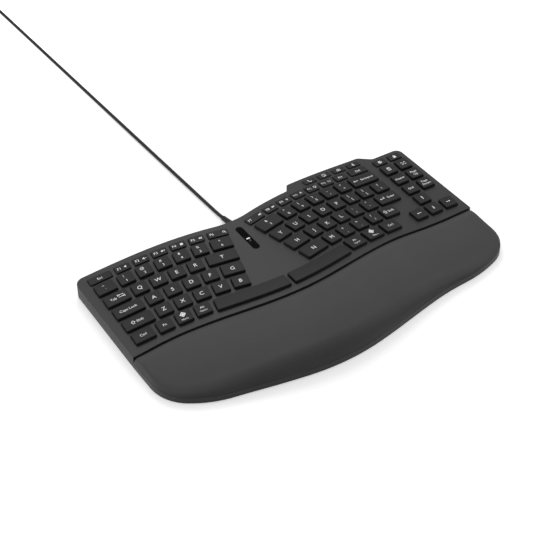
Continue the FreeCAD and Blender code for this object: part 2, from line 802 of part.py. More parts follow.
def membrane_top():
    return sheet_top() - DOME_SHEET_THICKNESS - LAYER_GAP


def support_top():
    return membrane_top() - MEMBRANE_THICKNESS - LAYER_GAP


def stabiliser_bars(keys):
    """A bent bar below each wide key, lying on the frame."""
    low = BAR_LIFT - FRAME_DEPTH
    band = crown_band(low, low + BAR_THICKNESS)
    bars = []
    for key in keys:
        if len(key.rods()) < 3:
            continue
        reach = key.width / 2 - POST_INSET + POST_RADIUS
        long_bar = Part.makeBox(2 * reach, BAR_THICKNESS, BAR_BLANK, place(-reach, BAR_PLACE, BAR_FOOT))
        arm_length = BAR_PLACE - POST_RADIUS - STEM_CLEARANCE - GUIDE_WALL - BAR_GAP
        arm = Part.makeBox(BAR_THICKNESS, arm_length + BAR_GAP, BAR_BLANK)
        arms = [
            arm.translated(place(x, BAR_PLACE - arm_length, BAR_FOOT)) for x in (-reach, reach - BAR_THICKNESS)
        ]
        bar = long_bar.fuse(arms)
        bar.Placement = key.seat()
        bars += bar.common(band).Solids
    return bars


def stadium(width, front, back, low, high):
    """Upright block with round ends about the split line."""
    radius = width / 2
    box = Part.makeBox(width, back - front - width, high - low, place(-radius, front + radius, low))
    ends = [Part.makeCylinder(radius, high - low, place(0, y, low)) for y in (front + radius, back - radius)]
    return box.fuse(ends).removeSplitter()


def window_hole():
    return stadium(
        WINDOW_WIDTH + 2 * WINDOW_GAP, WINDOW_FRONT - WINDOW_GAP, WINDOW_BACK + WINDOW_GAP,
        CROWN_HEIGHT - 3 * DECK_THICKNESS, CROWN_HEIGHT + 1,
    )


def indicator_window():
    """Dark window flush with the deck, its lip below the deck and the light guide down to the lamps."""
    face = CROWN_HEIGHT - crown_drop(WINDOW_WIDTH / 2)
    lens = stadium(WINDOW_WIDTH, WINDOW_FRONT, WINDOW_BACK, CROWN_HEIGHT - WINDOW_THICKNESS, face)
    lip_top = CROWN_HEIGHT - DECK_THICKNESS - LAYER_GAP
    lip = stadium(
        WINDOW_WIDTH + 2 * WINDOW_LIP, WINDOW_FRONT - WINDOW_LIP, WINDOW_BACK + WINDOW_LIP,
        CROWN_HEIGHT - WINDOW_THICKNESS - 1.0, lip_top,
    )
    lamps = BOARD_HEIGHT + BOARD_THICKNESS + LAMP_HEIGHT
    block = guide_slot(0.0)
    length = CROWN_HEIGHT - WINDOW_THICKNESS - LAYER_GAP - lamps
    trim = Part.makeBox(2 * FAR, 2 * FAR, length, place(-FAR, -FAR, lamps + LAYER_GAP))
    return lens.fuse([lip, block.common(trim)]).removeSplitter()


def lead_way():
    """Direction of the lead on the table, seen from above."""
    turn = math.radians(LEAD_HEADING)
    return Vector(-math.sin(turn), math.cos(turn), 0)


def relief_way():
    """Direction of the strain relief, which slopes down to the table."""
    slope = math.radians(RELIEF_SLOPE)
    return lead_way() * math.cos(slope) + Vector(0, 0, -math.sin(slope))


def relief_start():
    """Where the strain relief's axis meets the outside of the back wall."""
    return place(LEAD_EXIT[0], LEAD_EXIT[1], PARTING_HEIGHT)


def relief_tip():
    return relief_start() + relief_way() * RELIEF_LENGTH


def relief_hole():
    start = relief_start() - relief_way() * RELIEF_NECK
    return Part.makeCylinder(RELIEF_ROOT_RADIUS + PARTING_GAP, 2 * RELIEF_NECK, start, relief_way())


def strain_relief():
    """Tapered sleeve with a neck through the back wall and a flange inside."""
    way, start = relief_way(), relief_start()
    cone = Part.makeCone(RELIEF_ROOT_RADIUS, RELIEF_TIP_RADIUS, RELIEF_LENGTH, start, way)
    neck = Part.makeCylinder(RELIEF_ROOT_RADIUS, RELIEF_NECK, start - way * RELIEF_NECK, way)
    depth = RELIEF_NECK + RELIEF_FLANGE_THICKNESS
    flange = Part.makeCylinder(RELIEF_FLANGE_RADIUS, RELIEF_FLANGE_THICKNESS, start - way * depth, way)
    return cone.fuse([neck, flange]).removeSplitter()


def pilot_holes(posts):
    top = UNDERSIDE + SCREW_SINK + SCREW_HEAD_HEIGHT + SCREW_LENGTH + PILOT_SPARE
    return [Part.makeCylinder(SCREW_RADIUS + SCREW_CLEARANCE, top, place(x, y, 0)) for x, y in posts]


def top_case(keys):
    """Domed deck with its side walls, screw posts, key openings, window hole and lead exit."""
    base = PARTING_HEIGHT + PARTING_GAP
    outside = deck_prism(0.0, base, 2 * CROWN_HEIGHT).common(below_crown(0.0))
    inside = deck_prism(WALL, base - 1, 2 * CROWN_HEIGHT).common(below_crown(-DECK_THICKNESS))
    shell = outside.cut(inside)
    posts = [Part.makeCylinder(SCREW_POST_RADIUS, CROWN_HEIGHT, place(x, y, base)) for x, y in DECK_POSTS]
    posts = Part.makeCompound(posts).common(outside).Solids
    shell = shell.fuse(posts)
    holes = [opening(key) for key in keys]
    return shell.cut(holes + [window_hole(), relief_hole()] + pilot_holes(DECK_POSTS))


def tilt_box(middle, grow, low, high):
    """Upright box around a folded tilt foot."""
    width = TILT_WIDTH + 2 * grow
    back = TILT_HINGE_PLACE + TILT_THICKNESS / 2 + grow
    front = TILT_HINGE_PLACE + TILT_THICKNESS / 2 - TILT_LENGTH - grow
    return Part.makeBox(width, back - front, high - low, place(middle - width / 2, front, low))


def tilt_axis_height():
    return UNDERSIDE + TILT_LIFT + TILT_THICKNESS / 2


def tilt_foot(middle):
    """Flat foot with a round hinge end and two pin stubs."""
    low = UNDERSIDE + TILT_LIFT
    radius = TILT_THICKNESS / 2
    axis = place(middle - TILT_WIDTH / 2, TILT_HINGE_PLACE, tilt_axis_height())
    length = TILT_LENGTH - radius
    plate = Part.makeBox(TILT_WIDTH, length, TILT_THICKNESS, place(axis.x, TILT_HINGE_PLACE - length, low))
    barrel = Part.makeCylinder(radius, TILT_WIDTH, axis, Vector(1, 0, 0))
    reach = TILT_GAP + 0.8 * TILT_HOUSING_WALL
    pin_start = axis - Vector(reach, 0, 0)
    pin = Part.makeCylinder(TILT_PIN_RADIUS, TILT_WIDTH + 2 * reach, pin_start, Vector(1, 0, 0))
    finger_place = place(axis.x, TILT_HINGE_PLACE - length, low + FINGER_DEPTH - FINGER_RADIUS)
    finger = Part.makeCylinder(FINGER_RADIUS, TILT_WIDTH, finger_place, Vector(1, 0, 0))
    return plate.fuse([barrel, pin]).cut(finger).removeSplitter()


def bottom_case():
    """Tray with support ribs, screw and board bosses, tilt foot housings and recesses for the rubber feet."""
    floor_top = UNDERSIDE + FLOOR_THICKNESS
    outside = tray_prism(0.0, UNDERSIDE, PARTING_HEIGHT)
    inside = tray_prism(WALL, floor_top, PARTING_HEIGHT + 1)
    tray = outside.cut(inside)
    lowest = support_top() - SUPPORT_THICKNESS - LAYER_GAP
    rib_space = deck_prism(LAYER_INSET + 1.0, UNDERSIDE, 2 * CROWN_HEIGHT).common(below_crown(lowest))
    ribs = [
        Part.makeBox(RIB_THICKNESS, 2 * FAR, CROWN_HEIGHT, place(x - RIB_THICKNESS / 2, -FAR, UNDERSIDE))
        for x in RIB_PLACES
    ]
    ribs = Part.makeCompound(ribs).common(rib_space).Solids
    boss_height = PARTING_HEIGHT - UNDERSIDE
    bosses = [
        Part.makeCylinder(screw_boss_radius(), boss_height, place(x, y, UNDERSIDE))
        for x, y in DECK_POSTS + CORE_POSTS
    ]
    bosses += [
        Part.makeCylinder(BOSS_RADIUS, BOARD_HEIGHT - UNDERSIDE, place(x, y, UNDERSIDE))
        for x, y in board_bosses()
    ]
    bosses = Part.makeCompound(bosses).common(outside).Solids
    housing_top = UNDERSIDE + TILT_LIFT + TILT_THICKNESS + TILT_GAP
    roof_top = housing_top + TILT_ROOF
    grow = TILT_GAP + TILT_HOUSING_WALL
    housings = [tilt_box(x, grow, UNDERSIDE, roof_top) for x in TILT_FEET.values()]
    tray = tray.fuse(ribs + bosses + housings)
    cuts = [tilt_box(x, TILT_GAP, UNDERSIDE - 1, housing_top) for x in TILT_FEET.values()]
    pin_length = TILT_WIDTH + 2 * TILT_GAP + 2 * TILT_HOUSING_WALL + 2
    pin_bore = TILT_PIN_RADIUS + TILT_PIN_CLEARANCE
    for x in TILT_FEET.values():
        start = place(x - pin_length / 2, TILT_HINGE_PLACE, tilt_axis_height())
        cuts.append(Part.makeCylinder(pin_bore, pin_length, start, Vector(1, 0, 0)))
    for x, y in DECK_POSTS + CORE_POSTS:
        sink = SCREW_SINK + SCREW_HEAD_HEIGHT
        cuts.append(Part.makeCylinder(SCREW_HEAD_RADIUS + HEAD_CLEARANCE, sink, place(x, y, UNDERSIDE)))
        cuts.append(Part.makeCylinder(SCREW_RADIUS + HEAD_CLEARANCE, CROWN_HEIGHT, place(x, y, UNDERSIDE)))
    for x, y in RUBBER_FEET:
        cuts.append(Part.makeCylinder(RUBBER_RADIUS + RUBBER_GAP, RUBBER_SINK, place(x, y, UNDERSIDE)))
    cuts.append(relief_hole())
    return tray.cut(cuts)


def screws():
    """Pan head screws, head down."""
    solids = []
    for x, y in DECK_POSTS + CORE_POSTS:
        low = UNDERSIDE + SCREW_SINK
        head = Part.makeCylinder(SCREW_HEAD_RADIUS, SCREW_HEAD_HEIGHT, place(x, y, low))
        shank = Part.makeCylinder(SCREW_RADIUS, SCREW_LENGTH, place(x, y, low + SCREW_HEAD_HEIGHT))
        slot = Part.makeBox(2 * SCREW_HEAD_RADIUS, 0.7, 0.7, place(x - SCREW_HEAD_RADIUS, y - 0.35, low))
        solids.append(head.fuse(shank).cut([slot, slot.rotated(place(x, y, 0), Vector(0, 0, 1), 90)]))
    return solids


def rubber_feet():
    height = UNDERSIDE + RUBBER_SINK - RUBBER_GAP
    return [Part.makeCylinder(RUBBER_RADIUS, height, place(x, y, 0)) for x, y in RUBBER_FEET]


def board_bosses():
    inset = 2 * BOSS_RADIUS
    xs = (-BOARD_WIDTH / 2 + inset, BOARD_WIDTH / 2 - inset)
    ys = (BOARD_FRONT + inset, BOARD_FRONT + BOARD_LENGTH - inset)
    return [(x, y) for x in xs for y in ys]


def controller_board():
    """Board with its chip, the indicator lamps, the lead's connector and the short inner lead."""
    top = BOARD_HEIGHT + BOARD_THICKNESS
    corner_place = place(-BOARD_WIDTH / 2, BOARD_FRONT, BOARD_HEIGHT)
    board = Part.makeBox(BOARD_WIDTH, BOARD_LENGTH, BOARD_THICKNESS, corner_place)
    chip_corner = place(-BOARD_WIDTH / 2 + CHIP_PLACE[0], BOARD_FRONT + CHIP_PLACE[1], top)
    chip = Part.makeBox(CHIP_SIZE, CHIP_SIZE, CHIP_HEIGHT, chip_corner)
    middle = (WINDOW_FRONT + WINDOW_BACK - LAMP_SIZE) / 2
    lamps = [
        Part.makeBox(LAMP_SIZE, LAMP_SIZE, LAMP_HEIGHT, place(-LAMP_SIZE / 2, middle + y, top))
        for y in (-LAMP_PITCH, 0, LAMP_PITCH)
    ]
    way = relief_way()
    inner_end = relief_start() - way * (RELIEF_NECK + RELIEF_FLANGE_THICKNESS)
    back = BOARD_FRONT + BOARD_LENGTH
    height = 2 * (inner_end.z - top)
    connector = Part.makeBox(
        LEAD_DIAMETER + 3, CONNECTOR_LENGTH, height + 2,
        place(inner_end.x - LEAD_DIAMETER / 2 - 1.5, back - CONNECTOR_LENGTH, top),
    )
    lead_length = (inner_end.y - back) / way.y + 1.0
    lead = Part.makeCylinder(LEAD_DIAMETER / 2 - 0.2, lead_length, inner_end - way * lead_length, way)
    return board.fuse([chip, connector, lead] + lamps).removeSplitter()


def palm_core():
    """Stiff shell inside the pad, open below, with posts for its screws."""
    low = UNDERSIDE + FLOOR_THICKNESS + LAYER_GAP
    outside = palm_prism(CORE_INSET, low, 2 * CROWN_HEIGHT).common(below_crown(-CORE_DEPTH))
    inside = palm_prism(CORE_INSET + CORE_WALL, low - 1, 2 * CROWN_HEIGHT)
    inside = inside.common(below_crown(-CORE_DEPTH - CORE_WALL))
    base = PARTING_HEIGHT + PARTING_GAP
    posts = [Part.makeCylinder(SCREW_POST_RADIUS, CROWN_HEIGHT, place(x, y, base)) for x, y in CORE_POSTS]
    posts = Part.makeCompound(posts).common(outside).Solids
    return outside.cut(inside).fuse(posts).cut(pilot_holes(CORE_POSTS))


def pad_side(side):
    return side * ((LEFT_FRONT_EDGE if side < 0 else RIGHT_FRONT_EDGE) - PAD_GAP / 2)


def pad_stations():
    """Places across the pad where its section is drawn: close together where the ends roll down."""
    ends = (0.02, 0.6, 2.2, PAD_SIDE_ROLL, 10.0, PAD_ROLL, 1.8 * PAD_ROLL, 2.7 * PAD_ROLL)
    inner = [-118.0, -90.0, -60.0, -30.0, 0.0, 30.0, 60.0, 90.0, 120.0, 150.0, 172.0]
    return [pad_side(-1) + e for e in ends] + inner + [pad_side(1) - e for e in reversed(ends)]


def pad_section(x):
    """Section of the pad at x: flat base, rolled front, low crown and a drawn-in back edge."""
    share = min((x - pad_side(-1)) / PAD_SIDE_ROLL, (pad_side(1) - x) / PAD_SIDE_ROLL, 1.0)
    rise = max(math.sqrt(1.0 - (1.0 - share) ** 2), 0.1)
    base = PARTING_HEIGHT + PARTING_GAP
    low = base + PAD_RIM
    back = seam_y(x) - PAD_GAP
    front = front_y(x) + PAD_GAP / 2
    top = deck_height(x)

    def height(z):
        return low + (z - low) * rise + 0.4 * (1.0 - rise)

    shoulder = place(x, front + PAD_ROLL, height(top - PAD_FALL))
    roll = place(x, front + PAD_ROLL * 0.25, low + (shoulder.z - low) * 0.66)
    back_shoulder = place(x, back - PAD_BACK_ROLL, height(top - 0.2))
    back_top = place(x, back, height(top - PAD_BACK_DIP))
    back_roll = place(x, back - PAD_BACK_ROLL * 0.35, back_top.z + (back_shoulder.z - back_top.z) * 0.75)
    middle = place(x, (shoulder.y + back_shoulder.y) / 2, height(top - PAD_FALL * 0.35 + PAD_CROWN))
    corners = [place(x, back, base), place(x, front, base), place(x, front, low)]
    return Part.Wire([
        Part.makeLine(corners[0], corners[1]),
        Part.makeLine(corners[1], corners[2]),
        Part.Arc(corners[2], roll, shoulder).toShape(),
        Part.Arc(shoulder, middle, back_shoulder).toShape(),
        Part.Arc(back_shoulder, back_roll, back_top).toShape(),
        Part.makeLine(back_top, corners[0]),
    ])


def palm_pad():
    """Cushion with rolled edges over the whole palm rest, with a pocket for its core."""
    pad = Part.makeLoft([pad_section(x) for x in pad_stations()], True, True)
    pad = pad.common(palm_prism(PAD_GAP / 2, 0, 2 * CROWN_HEIGHT))
    pocket = palm_prism(CORE_INSET - CORE_GAP, 0, 2 * CROWN_HEIGHT).common(below_crown(CORE_GAP - CORE_DEPTH))
    return pad.cut(pocket)


def round_wire(centre, way, diameter):
    return Part.Wire(Part.makeCircle(diameter / 2, centre, way))


def rounded_route(points):
    """Straight runs joined by tangent arcs, each arc as large as its two runs allow. Prints the radii."""
    edges, at, radii = [], points[0], []
    for before, point, after in zip(points, points[1:], points[2:]):
        inward, outward = point - before, after - point
        reach = 0.45 * min(inward.Length, outward.Length)
        turn = inward.getAngle(outward)
        radii.append(round(reach / math.tan(turn / 2), 1))
        start = point - inward.normalize() * reach
        stop = point + outward.normalize() * reach
        edges.append(Part.makeLine(at, start))
        edges.append(arc_edge(start, point, stop))
        at = stop
    edges.append(Part.makeLine(at, points[-1]))
    print("lead arc radii:", radii)
    return edges


def coil_pitch():
    return LEAD_DIAMETER + COIL_GAP


def lead_height():
    return LEAD_DIAMETER / 2 + LEAD_HEIGHT


def coil_start():
    """Where the straight lead ends and the coil's tube begins."""
    tip = relief_tip()
    length = (COIL_PLACE - LEAD_DIAMETER - tip.y) / lead_way().y
    point = tip + lead_way() * length
    return place(point.x, point.y, lead_height())


def lead_points():
    """The lead's route: off the strain relief, down onto the table, then dead straight to the coil."""
    tip, way = relief_tip(), relief_way()
    first = tip + way * LEAD_RUN_OUT
    second = tip + lead_way() * LEAD_TOUCHDOWN
    return [tip, first, place(second.x, second.y, lead_height()), coil_start()]


def lead_tube():
    edges = rounded_route(lead_points())
    path = Part.Wire(edges)
    tube = path.makePipeShell([round_wire(relief_tip(), relief_way(), LEAD_DIAMETER)], True, False)
    section = math.pi * LEAD_DIAMETER ** 2 / 4
    print("lead volume over section times length:", round(tube.Volume / (section * path.Length), 4))
    print("lead length:", round(path.Length, 1))
    return tube


def coil_rule():
    """A function from the winding angle to the coil's centre line, and the last angle.

    The turns spiral in on the table and out again on top of themselves, and climb where the spiral reverses.
    """
    last = COIL_HALF_TURNS * math.pi
    turned = last / 2
    rate = coil_pitch() / (2 * math.pi)
    lead_turn = math.radians(LEAD_HEADING) - math.atan(rate / COIL_OUTER_RADIUS)
    start = coil_start() + lead_way() * LEAD_DIAMETER
    outward = place(math.cos(lead_turn), math.sin(lead_turn), 0)
    centre = start - outward * COIL_OUTER_RADIUS

    def centre_line(angle):
        radius = COIL_OUTER_RADIUS - rate * (turned - abs(angle - turned))
        climb = min(max((angle - turned + math.pi / 2) / math.pi, 0.0), 1.0)
        height = coil_pitch() * (1 - math.cos(math.pi * climb)) / 2
        turn = angle + lead_turn
        return centre + place(radius * math.cos(turn), radius * math.sin(turn), height)

    return centre_line, last


def coil_edges():
    """The coil's path as arcs of up to a quarter turn, with straight ends."""
    rule, last = coil_rule()
    step = math.pi / 2
    places = [n * step for n in range(round(last / step) + 1)]

    def way(angle):
        return (rule(angle + 0.01) - rule(angle - 0.01)).normalize()

    edges = [Part.makeLine(coil_start(), rule(0.0))]
    ways = [lead_way()] + [way(angle) for angle in places[1:]]
    for n in range(len(places) - 1):
        edges += biarc(rule(places[n]), ways[n], rule(places[n + 1]), ways[n + 1])
    end = rule(last)
    run = place(ways[-1].x, ways[-1].y, 0).normalize()
    drop = PLUG_THICKNESS / 2 - end.z
    stop = end + run * TAIL_LENGTH + place(0, 0, drop)
    edges += biarc(end, ways[-1], stop, run)
    edges.append(Part.makeLine(stop, stop + run * LEAD_DIAMETER))
    return edges, stop + run * LEAD_DIAMETER, run


def least_gap(edges):
    """Smallest space between two stretches of the coil's tube, measured on points along its centre line."""
    spacing = 2.0
    points = []
    for edge in edges:
        points += edge.discretize(max(int(edge.Length / spacing), 2))[:-1]
    apart = int(4 * LEAD_DIAMETER / spacing)
    least = min(
        (points[n] - other).Length
        for n in range(len(points))
        for other in points[n + apart:]
    )
    return least - LEAD_DIAMETER


def coil_tube():
    edges, _, _ = coil_edges()
    path = Part.Wire(edges)
    tube = path.makePipeShell([round_wire(coil_start(), lead_way(), LEAD_DIAMETER)], True, False)
    print("coil length:", round(path.Length, 1), "least gap:", round(least_gap(edges), 2))
    return tube


def plug_grip():
    """Moulded grip with rounded edges. The lead meets its back face."""
    _, end, run = coil_edges()
    low = place(-PLUG_WIDTH / 2, 0, -PLUG_THICKNESS / 2)
    grip = Part.makeBox(PLUG_WIDTH, PLUG_LENGTH, PLUG_THICKNESS, low)
    grip = grip.makeFillet(PLUG_ROUND, [e for e in grip.Edges if abs(e.tangentAt(e.FirstParameter).y) > 0.9])
    grip.Placement = plug_seat(end, run)
    return grip


def plug_seat(end, run):
    """Frame of the plug: y runs from the lead towards the shell's mouth."""
    turn = math.degrees(math.atan2(run.y, run.x)) - 90
    return Placement(end, Rotation(Vector(0, 0, 1), turn))


def plug_shell():
    """Metal shell with its tongue."""
    _, end, run = coil_edges()
    start = place(-SHELL_WIDTH / 2, PLUG_LENGTH, -SHELL_THICKNESS / 2)
    shell = Part.makeBox(SHELL_WIDTH, SHELL_LENGTH, SHELL_THICKNESS, start)
    width, thickness = SHELL_WIDTH - 2 * SHELL_WALL, SHELL_THICKNESS - 2 * SHELL_WALL
    inner = place(-width / 2, PLUG_LENGTH, -thickness / 2)
    mouth = Part.makeBox(width, SHELL_LENGTH, thickness, inner + place(0, SHELL_BACK, 0))
    tongue = Part.makeBox(width, SHELL_LENGTH - TONGUE_SINK, thickness / 2, inner)
    solid = shell.cut(mouth).fuse(tongue).removeSplitter()
    solid.Placement = plug_seat(end, run)
    return solid


CORD_NODES = ("usb_cord", "usb_cord_coil", "usb_plug_grip", "usb_plug_shell")


def build():
    """All nodes in the layout frame, as a name and its solids."""
    keys = all_keys()
    nodes = {
        "top_case": [top_case(keys)],
        "bottom_case": [bottom_case()],
        "palm_rest_pad": [palm_pad()],
        "palm_rest_core": [palm_core()],
        "key_frame": [key_frame(keys)],
        "dome_sheet": [dome_sheet(keys)],
        "contact_membrane": [layer(membrane_top(), MEMBRANE_THICKNESS)],
        "support_plate": [layer(support_top(), SUPPORT_THICKNESS)],
        "stabiliser_bars": stabiliser_bars(keys),
        "controller_board": [controller_board()],
        "indicator_window": [indicator_window()],
        "case_screws": screws(),
        "rubber_feet": rubber_feet(),
        "strain_relief": [strain_relief()],
        "usb_cord": [lead_tube()],
        "usb_cord_coil": [coil_tube()],
        "usb_plug_grip": [plug_grip()],
        "usb_plug_shell": [plug_shell()],
    }
    for side, x in TILT_FEET.items():
        nodes["tilt_foot_" + side] = [tilt_foot(x)]
    for key in keys:
        nodes.setdefault(key.node, []).append(key_solid(key))
    return nodes


def origin(nodes):
    """The point on the table below the middle of the object, without its lead."""
    shapes = [s for name, solids in nodes.items() if name not in CORD_NODES for s in solids]
    box = Part.makeCompound(shapes).optimalBoundingBox(False, False)
    return Vector((box.XMin + box.XMax) / 2, (box.YMin + box.YMax) / 2, 0)


def main():
    os.makedirs("parts", exist_ok=True)
    nodes = build()
    middle = origin(nodes)
    print("origin in the layout frame:", round(middle.x, 3), round(middle.y, 3))
    for name, solids in nodes.items():
        shape = solids[0] if len(solids) == 1 else Part.makeCompound(solids)
        shape = shape.copy()
        shape.translate(-middle)
        shape.exportStep("parts/" + name + ".step")
        count = len(shape.Solids)
        if count != len(solids) or not shape.isValid():
            print("CHECK", name, "solids", count, "expected", len(solids), "valid", shape.isValid())


if __name__ == "__main__":
    main()
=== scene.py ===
"""Looks of a split, domed keyboard with a soft palm rest, 93 keys and a straight lead.

Sizes in the classes are millimetres in the layout frame of the part's source: x = 0 on the split line,
y = 0 on the front edge of the home row, z = 0 on the table. One function turns them into the part's frame.
"""

import json
import logging
import math
from collections.abc import Callable, Iterator
from contextlib import contextmanager
from dataclasses import dataclass, field
from enum import Enum

import bmesh
import bpy
from mathutils import Matrix, Vector

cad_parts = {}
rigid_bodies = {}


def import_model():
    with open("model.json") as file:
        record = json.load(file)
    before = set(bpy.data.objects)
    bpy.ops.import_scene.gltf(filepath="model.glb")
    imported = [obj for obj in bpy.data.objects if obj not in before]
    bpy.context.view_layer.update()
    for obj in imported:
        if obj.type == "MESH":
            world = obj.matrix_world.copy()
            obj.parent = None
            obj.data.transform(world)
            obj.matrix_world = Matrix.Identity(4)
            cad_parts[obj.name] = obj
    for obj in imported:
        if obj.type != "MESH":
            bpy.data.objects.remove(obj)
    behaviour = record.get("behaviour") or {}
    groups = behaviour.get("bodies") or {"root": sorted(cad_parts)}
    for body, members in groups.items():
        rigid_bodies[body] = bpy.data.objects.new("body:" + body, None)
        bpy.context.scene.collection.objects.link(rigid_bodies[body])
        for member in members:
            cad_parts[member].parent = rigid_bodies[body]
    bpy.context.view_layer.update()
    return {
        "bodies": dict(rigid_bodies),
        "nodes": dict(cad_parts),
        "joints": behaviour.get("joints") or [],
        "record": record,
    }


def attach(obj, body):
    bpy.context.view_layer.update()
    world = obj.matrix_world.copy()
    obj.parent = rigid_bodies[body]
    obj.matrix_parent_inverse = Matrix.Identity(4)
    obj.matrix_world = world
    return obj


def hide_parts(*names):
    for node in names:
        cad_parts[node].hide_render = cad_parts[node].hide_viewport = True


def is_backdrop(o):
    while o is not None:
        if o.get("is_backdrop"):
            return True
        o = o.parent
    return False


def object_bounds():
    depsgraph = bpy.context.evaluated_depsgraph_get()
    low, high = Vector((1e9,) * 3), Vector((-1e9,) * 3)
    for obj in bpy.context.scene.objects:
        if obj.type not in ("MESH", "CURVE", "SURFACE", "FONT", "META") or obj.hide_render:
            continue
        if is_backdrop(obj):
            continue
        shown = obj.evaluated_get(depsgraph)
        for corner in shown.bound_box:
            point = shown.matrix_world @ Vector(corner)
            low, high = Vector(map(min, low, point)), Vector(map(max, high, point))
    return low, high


LOG = logging.getLogger("keyboard")
Point = tuple[float, float]
Faces = list[tuple[int, ...]]

MM = 0.001
MM_PER_METRE = 1000
# Place of the part's origin in the layout frame, in mm
ORIGIN_X = 29.1
ORIGIN_Y = -30.382
# A square cap's width and depth, and how far a cap stands above the deck, in mm
CAP_SIZE = 15.5
CAP_RISE = 2.8
# Half the step in mm over which a slope is measured
SLOPE_STEP = 0.01
# Corners of a copied node that lie nearer together than this, in metres, are one
MERGE_REACH = 2e-6
# Angles in degrees between faces: below the first they are one flat face, from the second their edge is sharp
FLAT_ANGLE = 0.05
SHARP_ANGLE = 32.0
# Part of a noise's values over which a colour or a roughness goes from one end to the other
NOISE_RANGE = {"From Min": 0.3, "From Max": 0.7}
# Height of a capital as a share of the built-in lettering's size
CAPITAL = 0.73


def at(x: float, y: float, z: float) -> Vector:
    """A layout place in millimetres as a place in the part's frame in metres."""
    return Vector(((x - ORIGIN_X) * MM, (y - ORIGIN_Y) * MM, z * MM))


def slope(line: Callable[[float], float], x: float) -> float:
    """Slope of a line y(x) at x."""
    return (line(x + SLOPE_STEP) - line(x - SLOPE_STEP)) / (2 * SLOPE_STEP)


def linear(hex_colour: str) -> tuple[float, float, float, float]:
    """An sRGB colour such as "#3a3a3c" as linear values.

    Args:
        hex_colour: the colour as a hash and six digits.

    Returns:
        Red, green, blue and a full alpha.
    """
    parts = [int(hex_colour[i:i + 2], 16) / 255 for i in (1, 3, 5)]
    red, green, blue = (c / 12.92 if c <= 0.04045 else ((c + 0.055) / 1.055) ** 2.4 for c in parts)
    return red, green, blue, 1.0


def add(tree: bpy.types.NodeTree, kind: str, settings: dict | None = None,
        links: dict | None = None) -> bpy.types.Node:
    """Adds one node to a tree.

    Args:
        tree: the shader or geometry tree.
        kind: the node's type name.
        settings: the node's own properties.
        links: for each input, by name or number, a value or another node's output socket.

    Returns:
        The new node.
    """
    node = tree.nodes.new(kind)
    for name, value in (settings or {}).items():
        setattr(node, name, value)
    for name, value in (links or {}).items():
        if isinstance(value, bpy.types.NodeSocket):
            tree.links.new(value, node.inputs[name])
        else:
            node.inputs[name].default_value = value
    return node


def shader_tree(owner: bpy.types.Material | bpy.types.World) -> bpy.types.NodeTree:
    """Gives a material or the world an empty tree.

    Args:
        owner: the material or the world.

    Returns:
        Its tree, with no node in it.
    """
    owner.use_nodes = True
    owner.node_tree.nodes.clear()
    return owner.node_tree


@dataclass(frozen=True)
class Finish:
    """One surface: its name, its colour, how rough it is, and its grain and blotches in millimetres."""

    name: str
    colour: str
    roughness: float
    slot: str
    metallic: float = 0.0
    grain: float = 0.5
    grain_height: float = 0.02
    grain_strength: float = 0.35
    blotch: float = 40.0
    blotch_depth: float = 0.05
    roughness_spread: float = 0.05
    edge_round: float = 0.0
    coat: float = 0.0
    coat_roughness: float = 0.12
    sheen: float = 0.0
    sheen_roughness: float = 0.4
    specular: float = 0.5

    def material(self) -> bpy.types.Material:
        """The finish as a material, made once.

        Returns:
            A material with blotches in its colour, a grain in its height and a varied roughness.
        """
        known = bpy.data.materials.get(self.name)
        if known:
            return known
        made = bpy.data.materials.new(self.name)
        tree = shader_tree(made)
        place = add(tree, "ShaderNodeTexCoord").outputs["Object"]
        blotches, grains = (
            add(tree, "ShaderNodeTexNoise", {}, {
                "Vector": place, "Scale": MM_PER_METRE / size, "Detail": detail, "Roughness": rough,
            }).outputs["Fac"]
            for size, detail, rough in ((self.blotch, 4.0, 0.6), (self.grain, 2.0, 0.55))
        )
        dark, pale = (
            tuple(min(c * (1 + depth), 1.0) for c in linear(self.colour)[:3]) + (1.0,)
            for depth in (-self.blotch_depth, self.blotch_depth)
        )
        share = add(tree, "ShaderNodeMapRange", {}, {"Value": blotches, **NOISE_RANGE}).outputs["Result"]
        tint = add(tree, "ShaderNodeMix", {"data_type": "RGBA"}, {
            "Factor": share, 6: dark, 7: pale,
        }).outputs[2]
        rough = add(tree, "ShaderNodeMapRange", {}, {
            "Value": grains, **NOISE_RANGE, "To Min": self.roughness - self.roughness_spread,
            "To Max": self.roughness + self.roughness_spread,
        }).outputs["Result"]
        relief = {"Height": grains, "Strength": self.grain_strength, "Distance": self.grain_height * MM}
        if self.edge_round:
            relief["Normal"] = add(tree, "ShaderNodeBevel", {"samples": 4}, {
                "Radius": self.edge_round * MM,
            }).outputs["Normal"]
        bump = add(tree, "ShaderNodeBump", {}, relief).outputs["Normal"]
        shader = add(tree, "ShaderNodeBsdfPrincipled", {}, {
            "Base Color": tint, "Roughness": rough, "Normal": bump, "Metallic": self.metallic,
            "Specular IOR Level": self.specular, "Coat Weight": self.coat,
            "Coat Roughness": self.coat_roughness, "Sheen Weight": self.sheen,
            "Sheen Roughness": self.sheen_roughness,
        })
        add(tree, "ShaderNodeOutputMaterial", {}, {"Surface": shader.outputs["BSDF"]})
        return made


# Spark-eroded ABS of the deck: a fine matt grain that scatters light and leaves no mirror image
DECK_ABS = Finish("abs_spark_eroded_deck", "#202021", 0.48, "case_plastic", grain=0.55, grain_height=0.03,
                  edge_round=0.35, specular=0.28)
# Satin ABS of the tray: the deck's plastic, painted a little paler so that its side walls look lit from the
# left, which is painted light
TRAY_ABS = Finish("abs_satin_tray", "#2a2a2b", 0.45, "tray_plastic", grain=0.5, grain_height=0.015,
                  edge_round=0.4, specular=0.3)
# Matt moulded ABS of the caps: darker than the deck, with a soft highlight on the rounded edges
CAP_ABS = Finish("abs_matt_caps", "#161617", 0.5, "key_plastic", grain=0.4,
                 roughness_spread=0.04, specular=0.17)
